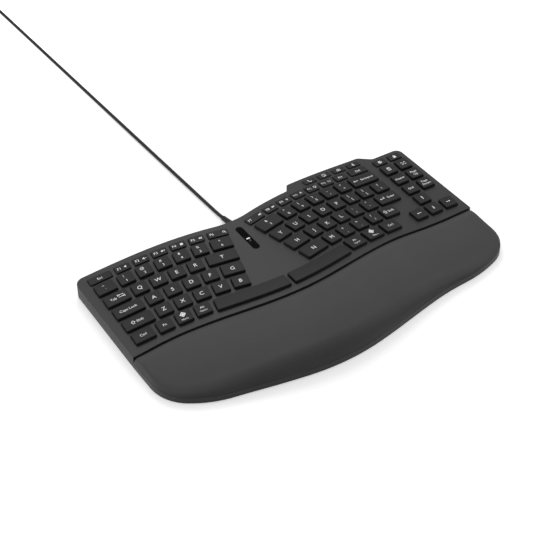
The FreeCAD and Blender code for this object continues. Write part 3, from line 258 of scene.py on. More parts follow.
# Pad-printed ink of the legends: an opaque, dull white that lies on the caps
LEGEND_INK = Finish("white_legend_ink", "#ffffff", 0.55, "key_plastic", grain=0.4, grain_height=0.004,
                    blotch_depth=0.01)
# Polyurethane skin over the firm foam of the pad: dull, with a fine grain like that of leather
PAD_SKIN = Finish("polyurethane_skin_fine_grain", "#424243", 0.55, "pad_foam", grain=0.7, grain_height=0.035,
                  blotch=60.0, sheen=0.04, specular=0.15)
# Tinted acrylic of the indicator window, with a satin face: nearly black, with hardly a reflection
WINDOW_ACRYLIC = Finish("acrylic_satin_dark", "#040405", 0.3, "window_plastic", grain=3.0, grain_height=0.002,
                        roughness_spread=0.02, specular=0.01)
# Flexible PVC sheath of the lead: satin, with a thin streak of light along its round side
LEAD_PVC = Finish("pvc_satin_sheath", "#121213", 0.45, "cord_plastic", grain=0.6, specular=0.2)
# Harder PVC of the plug's moulded grip: satin, and a little paler than the lead
GRIP_PVC = Finish("pvc_satin_grip", "#242425", 0.42, "plug_plastic", edge_round=0.4)
# Rubber of the foot pads: dull, because dust sits in its pores
FOOT_RUBBER = Finish("rubber_matt_foot", "#1f1f1f", 0.8, "foot_rubber", grain=0.8, grain_height=0.05)
# Bright rolled steel of the plate, the bars, the screws and the plug's shell: a blurred mirror
SHEET_STEEL = Finish("steel_rolled_bright", "#a9aaac", 0.32, "steel", metallic=1.0, grain=0.6,
                     grain_height=0.006, edge_round=0.15)
# Unpolished ABS of the guide plate below the caps: dull and dark
INNER_PLASTIC = Finish("abs_plain_inner", "#2a2a2a", 0.6, "inner_plastic", grain=0.8)
# Unpolished ABS of the shell below the pad: dull and grey
CORE_PLASTIC = Finish("abs_plain_core", "#444444", 0.6, "core_plastic", grain=0.8)
# Moulded silicone of the dome sheet: soft, pale and slightly milky
DOME_SILICONE = Finish("silicone_milky_domes", "#c2c2bc", 0.5, "dome_rubber", grain=0.9, sheen=0.1)
# Polyester of the contact foil: pale, under a glossy face
CONTACT_FOIL = Finish("polyester_glossy_foil", "#c9cdc8", 0.2, "membrane_film", grain=2.0, coat=0.3)
# Glass fibre of the circuit board, under solder mask: green, with a hard gloss
BOARD_MASK = Finish("glass_fibre_green_mask", "#1f5a3a", 0.3, "board", grain=1.2, coat=0.3)

# Finishes of the nodes that stay as they are
NODE_FINISHES = {
    "key_frame": INNER_PLASTIC, "palm_rest_core": CORE_PLASTIC, "dome_sheet": DOME_SILICONE,
    "contact_membrane": CONTACT_FOIL, "support_plate": SHEET_STEEL, "stabiliser_bars": SHEET_STEEL,
    "controller_board": BOARD_MASK,
}


def new_piece(name: str, data: bpy.types.ID) -> bpy.types.Object:
    """Links a mesh, a curve, a lamp or a camera to the scene as an object at the origin.

    Args:
        name: the object's name.
        data: what it holds.

    Returns:
        The object.
    """
    piece = bpy.data.objects.new(name, data)
    bpy.context.scene.collection.objects.link(piece)
    return piece


def finished(piece: bpy.types.Object, finish: Finish, body: str, *nodes: str) -> bpy.types.Object:
    """Gives a new piece its finish and its body, and lets it stand for its nodes.

    Args:
        piece: the new object, with its place in its mesh.
        finish: the surface it gets, if it has none yet.
        body: the body that it rides on.
        nodes: the nodes that it replaces.

    Returns:
        The same piece.
    """
    if not piece.data.materials:
        piece.data.materials.append(finish.material())
    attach(piece, body)
    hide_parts(*nodes)
    LOG.info("%s rides on %s", piece.name, body)
    return piece


@contextmanager
def editing(mesh: bpy.types.Mesh, source: bpy.types.Mesh | None = None) -> Iterator[bmesh.types.BMesh]:
    """Opens a mesh for changes and writes it back.

    Args:
        mesh: the mesh that is written.
        source: the mesh that is read, where it is another one.

    Yields:
        The open mesh.
    """
    shell = bmesh.new()
    shell.from_mesh(mesh if source is None else source)
    yield shell
    shell.to_mesh(mesh)
    shell.free()


def mesh_of(name: str, points: list[Vector], faces: Faces) -> bpy.types.Mesh:
    """A smooth mesh of points and faces with its faces turned outwards.

    Args:
        name: the mesh's name.
        points: its points.
        faces: its faces as numbers of points.

    Returns:
        The mesh.
    """
    mesh = bpy.data.meshes.new(name)
    mesh.from_pydata(points, [], faces)
    with editing(mesh) as shell:
        bmesh.ops.recalc_face_normals(shell, faces=shell.faces)
        for face in shell.faces:
            face.smooth = True
    return mesh


def ring_faces(rings: int, around: int) -> Faces:
    """Faces between closed rings of points that follow each other.

    Args:
        rings: how many rings there are.
        around: how many points a ring has.

    Returns:
        Faces of four points, from each ring to the next.
    """
    faces = []
    for low in range(0, (rings - 1) * around, around):
        for n in range(around):
            high, after = low + around, (n + 1) % around
            faces.append((low + n, low + after, high + after, high + n))
    return faces


def smoothed(frame: dict, node: str, name: str, finish: Finish, body: str = "case") -> bpy.types.Object:
    """A merged copy that stands for a node and shades smoothly across its curved faces.

    Args:
        node: the node to copy.
        name: the copy's name.
        finish: the surface it gets.
        body: the body that it rides on.

    Returns:
        The new piece, at the origin.
    """
    mesh = bpy.data.meshes.new(name)
    with editing(mesh, frame["nodes"][node].data) as shell:
        bmesh.ops.remove_doubles(shell, verts=shell.verts, dist=MERGE_REACH)
        bmesh.ops.dissolve_limit(shell, angle_limit=math.radians(FLAT_ANGLE), verts=shell.verts,
                                 edges=shell.edges)
        bmesh.ops.triangulate(shell, faces=[f for f in shell.faces if len(f.verts) > 4])
        for face in shell.faces:
            face.smooth = True
        for edge in shell.edges:
            joined = len(edge.link_faces) == 2
            edge.smooth = joined and edge.calc_face_angle(0.0) < math.radians(SHARP_ANGLE)
    mesh.materials.clear()
    piece = new_piece(name, mesh)
    piece.modifiers.new("even_normals", "WEIGHTED_NORMAL").keep_sharp = True
    return finished(piece, finish, body, node)


def add_print(mesh: bpy.types.Mesh, points: list[Vector], faces: Faces) -> None:
    """Adds printed shapes in white ink to a piece's mesh, in its second material slot.

    Args:
        mesh: the mesh.
        points: the places of the print's corners.
        faces: its faces.
    """
    if not points:
        return
    if len(mesh.materials) == 1:
        mesh.materials.append(LEGEND_INK.material())
    with editing(mesh) as shell:
        corners = [shell.verts.new(p) for p in points]
        for face in faces:
            shell.faces.new([corners[n] for n in face]).material_index = 1


@dataclass
class Dome:
    """The deck's surface: how its height falls from the split line to the wings."""

    crown: float = 31.0
    drop: float = 16.7
    reach: float = 197.0

    def height(self, x: float) -> float:
        """Height of the deck at x."""
        share = min(abs(x) / self.reach, 1.0)
        return self.crown - self.drop * (2 * share ** 2 - share ** 4)

    def lean(self, x: float) -> float:
        """Angle in radians by which the deck's normal leans towards +x."""
        share = min(abs(x) / self.reach, 1.0)
        return math.copysign(math.atan(self.drop * 4 * (share - share ** 3) / self.reach), x)


@dataclass
class Outline:
    """Seam and front line of the palm rest, seen from above."""

    seam_middle: float = -69.65
    seam_rise: float = 20.8
    seam_reach: float = 148.3
    seam_place: float = 1.3
    bow_front: float = -148.8
    bow_rise: float = 23.5
    bow_reach: float = 165.0
    bow_place: float = 1.7
    left_edge: float = 168.8
    right_edge: float = 227.0
    right_seam_edge: float = 226.0
    left_corner: Point = (-109.9, -78.8)
    right_corner: Point = (159.1, -84.2)
    side_steps: int = 8
    corner_steps: int = 12
    front_steps: int = 72

    def seam(self, x: float) -> float:
        """The seam's y at x."""
        share = min(abs(x - self.seam_place) / self.seam_reach, 1.0)
        return self.seam_middle + self.seam_rise * (1 - math.cos(math.pi * share)) / 2

    def seam_angle(self, x: float) -> float:
        """Angle of the seam at x in radians."""
        return math.atan(slope(self.seam, x))

    def bow(self, x: float) -> float:
        """The bowed front's y at x."""
        share = min(abs(x - self.bow_place) / self.bow_reach, 1.0)
        return self.bow_front + self.bow_rise * (1 - math.cos(math.pi * share)) / 2

    def corner(self, start: Vector, way: Vector, stop: Vector, stop_way: Vector) -> list[Vector]:
        """Two tangent arcs between two places, as points.

        Args:
            start: first place.
            way: direction at the first place.
            stop: last place.
            stop_way: direction at the last place.

        Returns:
            The points from start to stop.
        """
        span = stop - start
        a = 2 * (1 - way.dot(stop_way))
        b = 2 * span.dot(way + stop_way)
        reach = (-b + math.sqrt(b * b + 4 * a * span.dot(span))) / (2 * a)
        first, second = start + way * reach, stop - stop_way * reach
        joint = (first + second) / 2
        points = []
        for begin, control, end in ((start, first, joint), (joint, second, stop)):
            weight = (end - begin).length / 2 / (control - begin).length
            for n in range(self.corner_steps):
                t = n / self.corner_steps
                parts = ((1 - t) ** 2, 2 * weight * t * (1 - t), t * t)
                points.append((begin * parts[0] + control * parts[1] + end * parts[2]) / sum(parts))
        return points + [stop]

    def rim(self) -> list[Vector]:
        """The palm rest's edge from the seam's left end round the front to its right end.

        Returns:
            Its points.
        """
        left_x, left_y = self.left_corner
        right_x, right_y = self.right_corner
        seam_y = self.seam_middle + self.seam_rise
        left, right = Vector((-self.left_edge, left_y)), Vector((self.right_edge, right_y))
        left_way, right_way = (Vector((1, slope(self.bow, x))).normalized() for x in (left_x, right_x))
        ys = [seam_y + (left_y - seam_y) * n / self.side_steps for n in range(self.side_steps)]
        side = [Vector((left.x, y)) for y in ys]
        first = self.corner(left, Vector((0, -1)), Vector((left_x, self.bow(left_x))), left_way)
        xs = [left_x + (right_x - left_x) * n / self.front_steps for n in range(1, self.front_steps)]
        front = [Vector((x, self.bow(x))) for x in xs]
        last = self.corner(Vector((right_x, self.bow(right_x))), right_way, right, Vector((0, 1)))
        step = Vector((self.right_seam_edge, seam_y)) - right
        far_side = [right + step * n / self.side_steps for n in range(1, self.side_steps + 1)]
        return side + first + front + last + far_side


@dataclass
class PalmRest:
    """The cushion: a closed form with a low crown, rolled edges and a drawn-in line along the seam."""

    dome: Dome
    outline: Outline
    base: float = 8.15
    rim: float = 1.2
    roll: float = 15.0
    roll_power: float = 2.3
    side_roll: float = 2.0
    side_run: float = 75.0
    fall: float = 3.0
    fall_reach: float = 62.0
    crown: float = 0.3
    back_roll: float = 12.0
    back_dip: float = 3.2
    back_dip_share: float = 0.7
    gap: float = 0.2
    seam_gap: float = 0.35
    end_gap: float = 0.3
    column_swing: float = 0.035
    full_column: float = 34.0
    rim_rows: tuple[float, ...] = (0.0, 0.12, 0.4, 0.9, 1.7, 2.8, 4.3, 6.2, 8.5, 11.0, 13.5)
    inner_rows: tuple[float, ...] = (0.04, 0.1, 0.18, 0.28, 0.4, 0.52, 0.64, 0.75, 0.83, 0.89, 0.93, 0.96,
                                     0.98, 0.992, 1.0)

    def height(self, place: Vector, edge: float, seam: float) -> float:
        """Height of the cushion's top.

        Args:
            place: the place in the plan.
            edge: its distance from the rim.
            seam: its distance from the seam.

        Returns:
            The height above the table.
        """
        low = self.base + self.rim
        span = edge + seam
        share = edge / span if span else 0.0
        away = min(seam / self.side_run, 1.0)
        away = away * away * (3 - 2 * away)
        roll = self.side_roll + (self.roll - self.side_roll) * away
        top = self.dome.height(place.x) + self.crown * 4 * share * (1 - share)
        top -= away * self.fall * max(0.0, 1 - max(edge - roll, 0.0) / self.fall_reach) ** 2
        rolled = min(edge / roll, 1.0)
        top = low + (top - low) * (1 - (1 - rolled) ** self.roll_power) ** (1 / self.roll_power)
        drawn = max(0.0, 1 - seam / self.back_roll)
        dip = min(self.back_dip, self.back_dip_share * (top - low))
        return top - dip * (1 - math.sqrt(max(0.0, 1 - drawn ** 2)))

    def rows(self) -> list[Point]:
        """Places across the cushion, as a distance from the rim and a share of the rest of the way."""
        return [(d, 0.0) for d in self.rim_rows] + [(self.rim_rows[-1], share) for share in self.inner_rows]

    def columns(self) -> tuple[list[Vector], list[list[Vector]]]:
        """Lines of places from the rim to the seam, close together where the rim is bent.

        Returns:
            The rim, drawn in by the gap, and for each of its points a line to the seam.
        """
        rim = self.outline.rim()
        run, edge_line = [0.0], []
        for a, b in zip(rim, rim[1:]):
            run.append(run[-1] + (b - a).length)
        for n, place in enumerate(rim):
            way = (rim[min(n + 1, len(rim) - 1)] - rim[max(n - 1, 0)]).normalized()
            edge_line.append(place + Vector((-way.y, way.x)) * self.gap)
        left, right = edge_line[0].x, edge_line[-1].x
        columns = []
        for walked, start in zip(run, edge_line):
            share = walked / run[-1]
            share = share + self.column_swing * math.sin(2 * math.pi * share)
            x = left + self.end_gap + (right - left - 2 * self.end_gap) * min(max(share, 0.0), 1.0)
            stop = Vector((x, self.outline.seam(x) - self.seam_gap))
            back = self.outline.seam(start.x) - self.seam_gap - self.end_gap
            start = Vector((start.x, min(start.y, back)))
            length = (stop - start).length
            near = min(1.0, length / self.full_column)
            walks = [d * near + (length - d * near) * s for d, s in self.rows()]
            columns.append([start + (stop - start) * (walk / length) for walk in walks])
        return edge_line, columns

    def build(self) -> bpy.types.Object:
        """The cushion as one closed mesh.

        Returns:
            The piece.
        """
        edge_line, columns = self.columns()
        points = []
        for column in columns:
            points += [at(p.x, p.y, self.base) for p in (column[-1], column[0])]
            for p in column:
                edge = min((p - self.nearest(p, a, b)).length for a, b in zip(edge_line, edge_line[1:]))
                behind = abs(self.outline.seam(p.x) - self.seam_gap - p.y)
                seam = behind * math.cos(self.outline.seam_angle(p.x))
                points.append(at(p.x, p.y, self.height(p, edge, seam)))
        width = len(self.rows()) + 2
        faces = ring_faces(len(columns), width)
        faces += [tuple(range(width)), tuple(range(len(points) - width, len(points)))]
        piece = new_piece("palm_cushion", mesh_of("palm_cushion", points, faces))
        top_of_base = (self.base + 0.01) * MM
        for edge in piece.data.edges:
            edge.use_edge_sharp = all(piece.data.vertices[v].co.z < top_of_base for v in edge.vertices)
        finished(piece, PAD_SKIN, "case", "palm_rest_pad")
        return piece

    @staticmethod
    def nearest(p: Vector, a: Vector, b: Vector) -> Vector:
        """The place on the line from a to b that is nearest to p.

        Args:
            p: the place that is asked about.
            a: the line's start.
            b: the line's end.

        Returns:
            The nearest place.
        """
        span = b - a
        share = min(max((p - a).dot(span) / max(span.dot(span), 1e-9), 0.0), 1.0)
        return a + span * share


@dataclass
class KeyPlace:
    """One key: its name, its node, its half, its place on a row arc and its size."""

    name: str
    node: str
    side: int
    front: float
    outer: float
    width: float
    depth: float = CAP_SIZE
    rise: float = CAP_RISE

    def seat(self, layout: "KeyLayout") -> Matrix:
        """The key's own frame in layout millimetres: x along the row, z along its travel.

        Args:
            layout: the layout that the key is part of.

        Returns:
            The frame, with its origin on the deck at the key's middle.
        """
        radius = layout.home_radius + self.front + self.depth / 2
        turn = (self.outer + self.width / 2) / (layout.home_radius + self.front)
        x = self.side * (layout.row_centre - radius * math.sin(turn))
        y = radius * math.cos(turn) - layout.home_radius
        lean = Matrix.Rotation(layout.dome.lean(x), 4, "Y")
        heading = Matrix.Rotation(self.side * turn, 4, "Z")
        return Matrix.Translation((x, y, layout.dome.height(x))) @ lean @ heading


@dataclass
class KeyLayout:
    """Where the keys are: rows are arcs about a centre on each half."""

    dome: Dome
    row_centre: float = 189.3
    home_radius: float = 629.6
    pitch: float = 19.05
    function_pitch: float = 19.3
    function_front: float = 56.8
    function_depth: float = 10.0
    function_rise: float = 1.4
    call_front: float = 69.6
    call_depth: float = 7.4
    call_pitch: float = 19.5
    call_edge: float = 15.7
    call_rise: float = 1.0
    nav_width: float = 14.7
    nav_pitch: float = 18.5
    nav_edge: float = 4.1
    split_edge: float = 163.0
    split_lean: float = 5.2
    left_edge: float = 31.6
    left_lean: float = 0.6
    right_edge: float = 14.5
    right_shift_edge: float = 30.4
    right_modifier_edge: float = 43.0
    modifier_pitch: float = 23.8

    def front(self, level: int) -> float:
        """Front edge of a row, from the function row (3) to the space row (-2)."""
        return self.function_front if level == 3 else level * self.pitch

    def size(self, level: int) -> Point:
        """Depth and rise of the keys of a row."""
        return (self.function_depth, self.function_rise) if level == 3 else (CAP_SIZE, CAP_RISE)

    def run(self, side: int, level: int, stagger: float, edge: float, names: list[tuple[str, str]],
            closed: bool = True) -> list[KeyPlace]:
        """Keys of one row from its outer end to the split.

        Args:
            side: -1 for the left half and 1 for the right.
            level: the row.
            stagger: where the row's second key starts.
            edge: where its first key starts.
            names: name and node of each key.
            closed: whether the last key fills the row up to the split.

        Returns:
            The keys.
        """
        pitch = self.function_pitch if level == 3 else self.pitch
        front, size, web = self.front(level), self.size(level), pitch - CAP_SIZE
        keys = [KeyPlace(*names[0], side, front, edge, stagger - web - edge, *size)]
        plain = names[1:-1] if closed else names[1:]
        for n, name in enumerate(plain):
            keys.append(KeyPlace(*name, side, front, stagger + n * pitch, CAP_SIZE, *size))
        if closed:
            start = stagger + len(plain) * pitch
            width = self.split_edge + self.split_lean * level - start
            keys.append(KeyPlace(*names[-1], side, front, start, width, *size))
        return keys

    def left(self) -> list[KeyPlace]:
        """Keys of the left half, without the space key.

        Returns:
            The keys, row by row from the back.
        """
        number, function, modifier = "number_keys_left", "function_keys_left", "modifier_keys_left"
        rows = {
            3: (61.3, [("escape", function)] + [(f"f{n}", function) for n in range(1, 7)]),
            2: (56.7, [("grave", number)] + [(str(n), number) for n in range(1, 7)]),
            1: (60.8, [("tab", modifier)] + [(c, "key_" + c) for c in "qwert"]),
            0: (65.0, [("caps", modifier)] + [(c, "key_" + c) for c in "asdfg"]),
            -1: (64.8, [("shift_left", "key_shift_left")] + [(c, "key_" + c) for c in "zxcvb"]),
            -2: (55.2, [(c, modifier) for c in ("control_left", "fn", "system_left", "alt_left")]),
        }
        keys = []
        for level, (stagger, names) in rows.items():
            keys += self.run(-1, level, stagger, self.left_edge + self.left_lean * level, names, level != -2)
        return keys

    def right(self) -> list[KeyPlace]:
        """Keys of the right half, without the space key.

        Returns:
            The keys, row by row from the back, then the modifier keys and the small call keys.
        """
        number, function, mark = "number_keys_right", "function_keys_right", "punctuation_keys"
        rows = {
            3: (41.4, [(c, function) for c in ("delete", "print", "f12", "f11", "f10", "f9", "f8", "f7")]),
            2: (50.1, [("backspace", "key_backspace")] + [(c, number) for c in ("equal", "minus", *"0987")]),
            1: (34.9, [(c, mark) for c in ("backslash", "bracket_right", "bracket_left")]
                + [(c, "key_" + c) for c in "poiuy"]),
            0: (43.9, [("enter", "key_enter"), ("quote", mark), ("semicolon", mark)]
                + [(c, "key_" + c) for c in "lkjh"]),
            -1: (52.9, [("shift_right", "key_shift_right")]
                 + [(c, mark) for c in ("slash", "period", "comma")] + [(c, "key_" + c) for c in "mn"]),
        }
        keys = []
        for level, (stagger, names) in rows.items():
            edge = self.right_shift_edge if level == -1 else self.right_edge
            keys += self.run(1, level, stagger, edge, names)
        groups = (
            (("control_right", "system_right", "alt_right"), "modifier_keys_right", self.front(-2),
             self.right_modifier_edge, self.modifier_pitch, (CAP_SIZE, CAP_RISE)),
            (("call_mute", "call_camera", "call_video", "call_phone"), function, self.call_front,
             self.call_edge, self.call_pitch, (self.call_depth, self.call_rise)),
        )
        for names, node, front, edge, pitch, size in groups:
            width = pitch - self.pitch + CAP_SIZE
            for n, name in enumerate(names):
                keys.append(KeyPlace(name, node, 1, front, edge + n * pitch, width, *size))
        return keys

    def navigation(self) -> list[KeyPlace]:
        """The two columns of keys and the arrow keys at the right end.

        Returns:
            The keys, row by row from the back.
        """
        rows = {
            3: ("settings", "lock"), 2: ("calculator", "capture"), 1: ("home", "page_up"),
            0: ("end", "page_down"), -1: ("arrow_up",), -2: ("arrow_down", "arrow_right", "arrow_left"),
        }
        keys = []
        for level, names in rows.items():
            for name, column in zip(names, (0, 1, -1)):
                start = self.nav_edge - self.nav_width - column * self.nav_pitch
                keys.append(KeyPlace(name, "navigation_keys", 1, self.front(level), start, self.nav_width,
                                     *self.size(level)))
        return keys

    def keys(self) -> list[KeyPlace]:
        """Every key but the two space keys."""
        return self.left() + self.right() + self.navigation()


class Icon(Enum):
    """Generic symbols on the caps."""

    LEFT = "arrow left"
    RIGHT = "arrow right"
    UP = "arrow up"
    DOWN = "arrow down"
    SHIFT = "hollow arrow up"
    TABS = "two arrows against bars"
    MENU = "diamond"
    SOUND = "loudspeaker"
    SOUND_LOW = "loudspeaker and minus"
    SOUND_HIGH = "loudspeaker and plus"
    DIM = "small sun"
    BRIGHT = "large sun"
    BACK = "triangles left"
    PLAY = "triangles right"
    STOP = "square"
    SEARCH = "magnifier"
    MICROPHONE = "microphone"
    CAMERA = "camera"
    SCREEN = "screen"
    PHONE = "handset"
    GEAR = "gear"
    LOCK = "padlock"
    CALCULATOR = "calculator"
    CAPTURE = "frame corners"
    ENTER = "bent arrow"


class Drawing:
    """A flat drawing made of filled outlines, in units of its own height."""

    def __init__(self) -> None:
        """Starts an empty drawing."""
        self.shapes: list[list[Point]] = []

    def line(self, *points: Point, width: float = 0.13) -> "Drawing":
        """Adds straight strokes through places, each half a width longer at both ends.

        Args:
            points: the places.
            width: how wide the strokes are.

        Returns:
            The same drawing.
        """
        for (ax, ay), (bx, by) in zip(points, points[1:]):
            span = math.hypot(bx - ax, by - ay)
            px, py = -(by - ay) / span * width / 2, (bx - ax) / span * width / 2
            ex, ey = (bx - ax) / span * width / 2, (by - ay) / span * width / 2
            self.fill((ax - ex + px, ay - ey + py), (ax - ex - px, ay - ey - py),
                      (bx + ex - px, by + ey - py), (bx + ex + px, by + ey + py))
        return self

    def disc(self, x: float, y: float, radius: float, sides: int = 14) -> "Drawing":
        """Adds a filled disc of many sides."""
        steps = [2 * math.pi * n / sides for n in range(sides)]
        return self.fill(*[(x + radius * math.cos(a), y + radius * math.sin(a)) for a in steps])

    def ring(self, x: float, y: float, radius: float, width: float = 0.13, sides: int = 14) -> "Drawing":
        """Adds a ring of short strokes."""
        steps = [2 * math.pi * n / sides for n in range(sides + 1)]
        return self.line(*[(x + radius * math.cos(a), y + radius * math.sin(a)) for a in steps], width=width)

    def rays(self, count: int, near: float, far: float, width: float) -> "Drawing":
        """Adds strokes that point away from the middle.

        Args:
            count: how many there are.
            near: how far from the middle they start.
            far: how far from the middle they end.
            width: how wide they are.

        Returns:
            The same drawing.
        """
        for n in range(count):
            turn = 2 * math.pi * n / count
            x, y = math.cos(turn), math.sin(turn)
            self.line((near * x, near * y), (far * x, far * y), width=width)
        return self

    def box(self, x0: float, y0: float, x1: float, y1: float) -> "Drawing":
        """Adds a filled box."""
        return self.fill((x0, y0), (x1, y0), (x1, y1), (x0, y1))

    def frame(self, x0: float, y0: float, x1: float, y1: float, width: float = 0.12) -> "Drawing":
        """Adds the outline of a box."""
        return self.line((x0, y0), (x1, y0), (x1, y1), (x0, y1), (x0, y0), width=width)

    def fill(self, *points: Point) -> "Drawing":
        """Adds a filled outline."""
        self.shapes.append(list(points))
        return self

    def arrow(self, wx: float, wy: float) -> "Drawing":
        """Adds an arrow through the middle of the drawing.

        Args:
            wx: how far its direction goes along x, as part of a unit.
            wy: how far its direction goes along y.

        Returns:
            The same drawing.
        """
        reach, head, spread, neck = 0.5, 0.3, 0.8, 0.1
        tx, ty = wx * reach, wy * reach
        px, py = wy * head * spread, wx * head * spread
        wings = [(tx - wx * head + s * px, ty - wy * head + s * py) for s in (-1, 1)]
        return self.line((-tx, -ty), (tx - wx * neck, ty - wy * neck)).fill((tx, ty), *wings)

    def faces(self) -> tuple[list[Point], Faces]:
        """The drawing as points and faces.

        Returns:
            The points, and for each shape its points' numbers, counterclockwise.
        """
        points: list[Point] = []
        faces: Faces = []
        for shape in self.shapes:
            turn = sum(a[0] * b[1] - b[0] * a[1] for a, b in zip(shape, shape[1:] + shape[:1]))
            faces.append(tuple(range(len(points), len(points) + len(shape))))
            points += shape if turn > 0 else shape[::-1]
        return points, faces


def icon_drawing(icon: Icon) -> Drawing:
    """Draws one of the generic symbols.

    Args:
        icon: which one.

    Returns:
        Its drawing, about one unit high.
    """
    d = Drawing()
    arrows = {Icon.LEFT: (-1, 0), Icon.RIGHT: (1, 0), Icon.UP: (0, 1), Icon.DOWN: (0, -1)}
    if icon in arrows:
        d.arrow(*arrows[icon])
    elif icon is Icon.SHIFT:
        d.line((0, 0.5), (-0.45, 0.05), (-0.2, 0.05), (-0.2, -0.45), (0.2, -0.45), (0.2, 0.05), (0.45, 0.05),
               (0, 0.5), width=0.1)
    elif icon is Icon.TABS:
        for way, y in ((-1, 0.25), (1, -0.25)):
            d.line((-0.5, y), (0.5, y), width=0.1)
            d.fill((way * 0.5, y), (way * 0.22, y + 0.17), (way * 0.22, y - 0.17))
            d.line((way * 0.6, y - 0.2), (way * 0.6, y + 0.2), width=0.1)
    elif icon is Icon.MENU:
        d.line((0, 0.5), (0.5, 0), (0, -0.5), (-0.5, 0), (0, 0.5), width=0.18).disc(0, 0, 0.22)
    elif icon in (Icon.SOUND, Icon.SOUND_LOW, Icon.SOUND_HIGH):
        d.fill((-0.5, -0.15), (-0.3, -0.15), (0.0, -0.4), (0.0, 0.4), (-0.3, 0.15), (-0.5, 0.15))
        if icon is not Icon.SOUND:
            d.line((0.18, 0), (0.56, 0), width=0.1)
        if icon is Icon.SOUND_HIGH:
            d.line((0.37, -0.19), (0.37, 0.19), width=0.1)
    elif icon in (Icon.DIM, Icon.BRIGHT):
        d.ring(0, 0, 0.18, width=0.1, sides=10).rays(8, 0.28, 0.34 if icon is Icon.DIM else 0.5, 0.08)
    elif icon in (Icon.BACK, Icon.PLAY):
        way = -1 if icon is Icon.BACK else 1
        for start in (-0.45, 0.0):
            d.fill((way * start, 0.35), (way * start, -0.35), (way * (start + 0.45), 0))
    elif icon is Icon.STOP:
        d.box(-0.35, -0.35, 0.35, 0.35)
    elif icon is Icon.SEARCH:
        d.ring(-0.1, 0.1, 0.28, width=0.12).line((0.12, -0.12), (0.42, -0.42))
    elif icon is Icon.MICROPHONE:
        d.box(-0.14, -0.05, 0.14, 0.5)
        d.line((-0.3, 0.05), (-0.3, -0.15), (0.3, -0.15), (0.3, 0.05), width=0.09)
        d.line((0, -0.15), (0, -0.45), width=0.1).line((-0.2, -0.45), (0.2, -0.45), width=0.1)
    elif icon is Icon.CAMERA:
        d.frame(-0.5, -0.32, 0.5, 0.25).ring(0, -0.03, 0.15, width=0.1, sides=10).box(-0.2, 0.25, 0.2, 0.4)
    elif icon is Icon.SCREEN:
        d.frame(-0.5, -0.22, 0.5, 0.42).line((-0.25, -0.45), (0.25, -0.45)).line((0, -0.22), (0, -0.4))
    elif icon is Icon.PHONE:
        d.line((-0.38, 0.28), (-0.28, -0.05), (0.02, -0.32), (0.36, -0.36), width=0.16)
        d.disc(-0.36, 0.33, 0.15).disc(0.38, -0.32, 0.15)
    elif icon is Icon.GEAR:
        d.ring(0, 0, 0.24, width=0.16, sides=12).rays(6, 0.3, 0.46, 0.16)
    elif icon is Icon.LOCK:
        d.box(-0.34, -0.45, 0.34, 0.08).line((-0.2, 0.08), (-0.2, 0.4), (0.2, 0.4), (0.2, 0.08), width=0.1)
    elif icon is Icon.CALCULATOR:
        d.frame(-0.36, -0.5, 0.36, 0.5, width=0.09).box(-0.24, 0.2, 0.24, 0.38)
        for n in range(6):
            x, y = -0.2 + 0.2 * (n % 3), 0.0 - 0.24 * (n // 3)
            d.box(x - 0.05, y - 0.05, x + 0.05, y + 0.05)
    elif icon is Icon.CAPTURE:
        for sx in (-1, 1):
            for sy in (-1, 1):
                d.line((sx * 0.48, sy * 0.15), (sx * 0.48, sy * 0.4), (sx * 0.22, sy * 0.4), width=0.1)
        d.disc(0, 0, 0.14)
    elif icon is Icon.ENTER:
        d.line((0.5, 0.4), (0.5, -0.05), (-0.3, -0.05), width=0.12)
        d.fill((-0.58, -0.05), (-0.25, 0.17), (-0.25, -0.27))
    return d


@dataclass(frozen=True)
class Mark:
    """One item of a legend: a text or a symbol, its height in mm and its middle on the cap in mm."""

    what: str | Icon
    size: float
    x: float = 0.0
    y: float = 0.0


# Keys with two signs: the upper one and the lower one
PAIRS = {
    "grave": "~`", "1": "!1", "2": "@2", "3": "#3", "4": "$4", "5": "%5", "6": "^6", "7": "&7", "8": "*8",
    "9": "(9", "0": ")0", "minus": "_-", "equal": "+=", "bracket_left": "{[", "bracket_right": "}]",
    "backslash": "|\\", "semicolon": ":;", "quote": "\"'", "comma": "<,", "period": ">.", "slash": "?/",
}
# Function keys: the symbol on the right of the key's name
SECOND_ICONS = {
    "f1": Icon.SOUND, "f2": Icon.SOUND_LOW, "f3": Icon.SOUND_HIGH, "f4": Icon.STOP, "f5": Icon.BACK,
    "f6": Icon.SEARCH, "f7": Icon.BACK, "f8": Icon.PLAY, "f9": Icon.DIM, "f10": Icon.BRIGHT,
    "f11": Icon.SCREEN, "f12": Icon.CAPTURE,
}
# Keys with a symbol alone
LONE_ICONS = {
    "call_mute": Icon.MICROPHONE, "call_camera": Icon.CAMERA, "call_video": Icon.SCREEN,
    "call_phone": Icon.PHONE, "settings": Icon.GEAR, "lock": Icon.LOCK, "calculator": Icon.CALCULATOR,
    "capture": Icon.CAPTURE, "arrow_up": Icon.UP, "arrow_down": Icon.DOWN, "arrow_left": Icon.LEFT,
    "arrow_right": Icon.RIGHT,
}
# Keys with a word alone
WORDS = {
    "escape": "Esc", "caps": "Caps Lock", "control_left": "Ctrl", "control_right": "Ctrl", "fn": "Fn",
    "home": "Home", "end": "End", "print": "Prt", "delete": "Del",
}


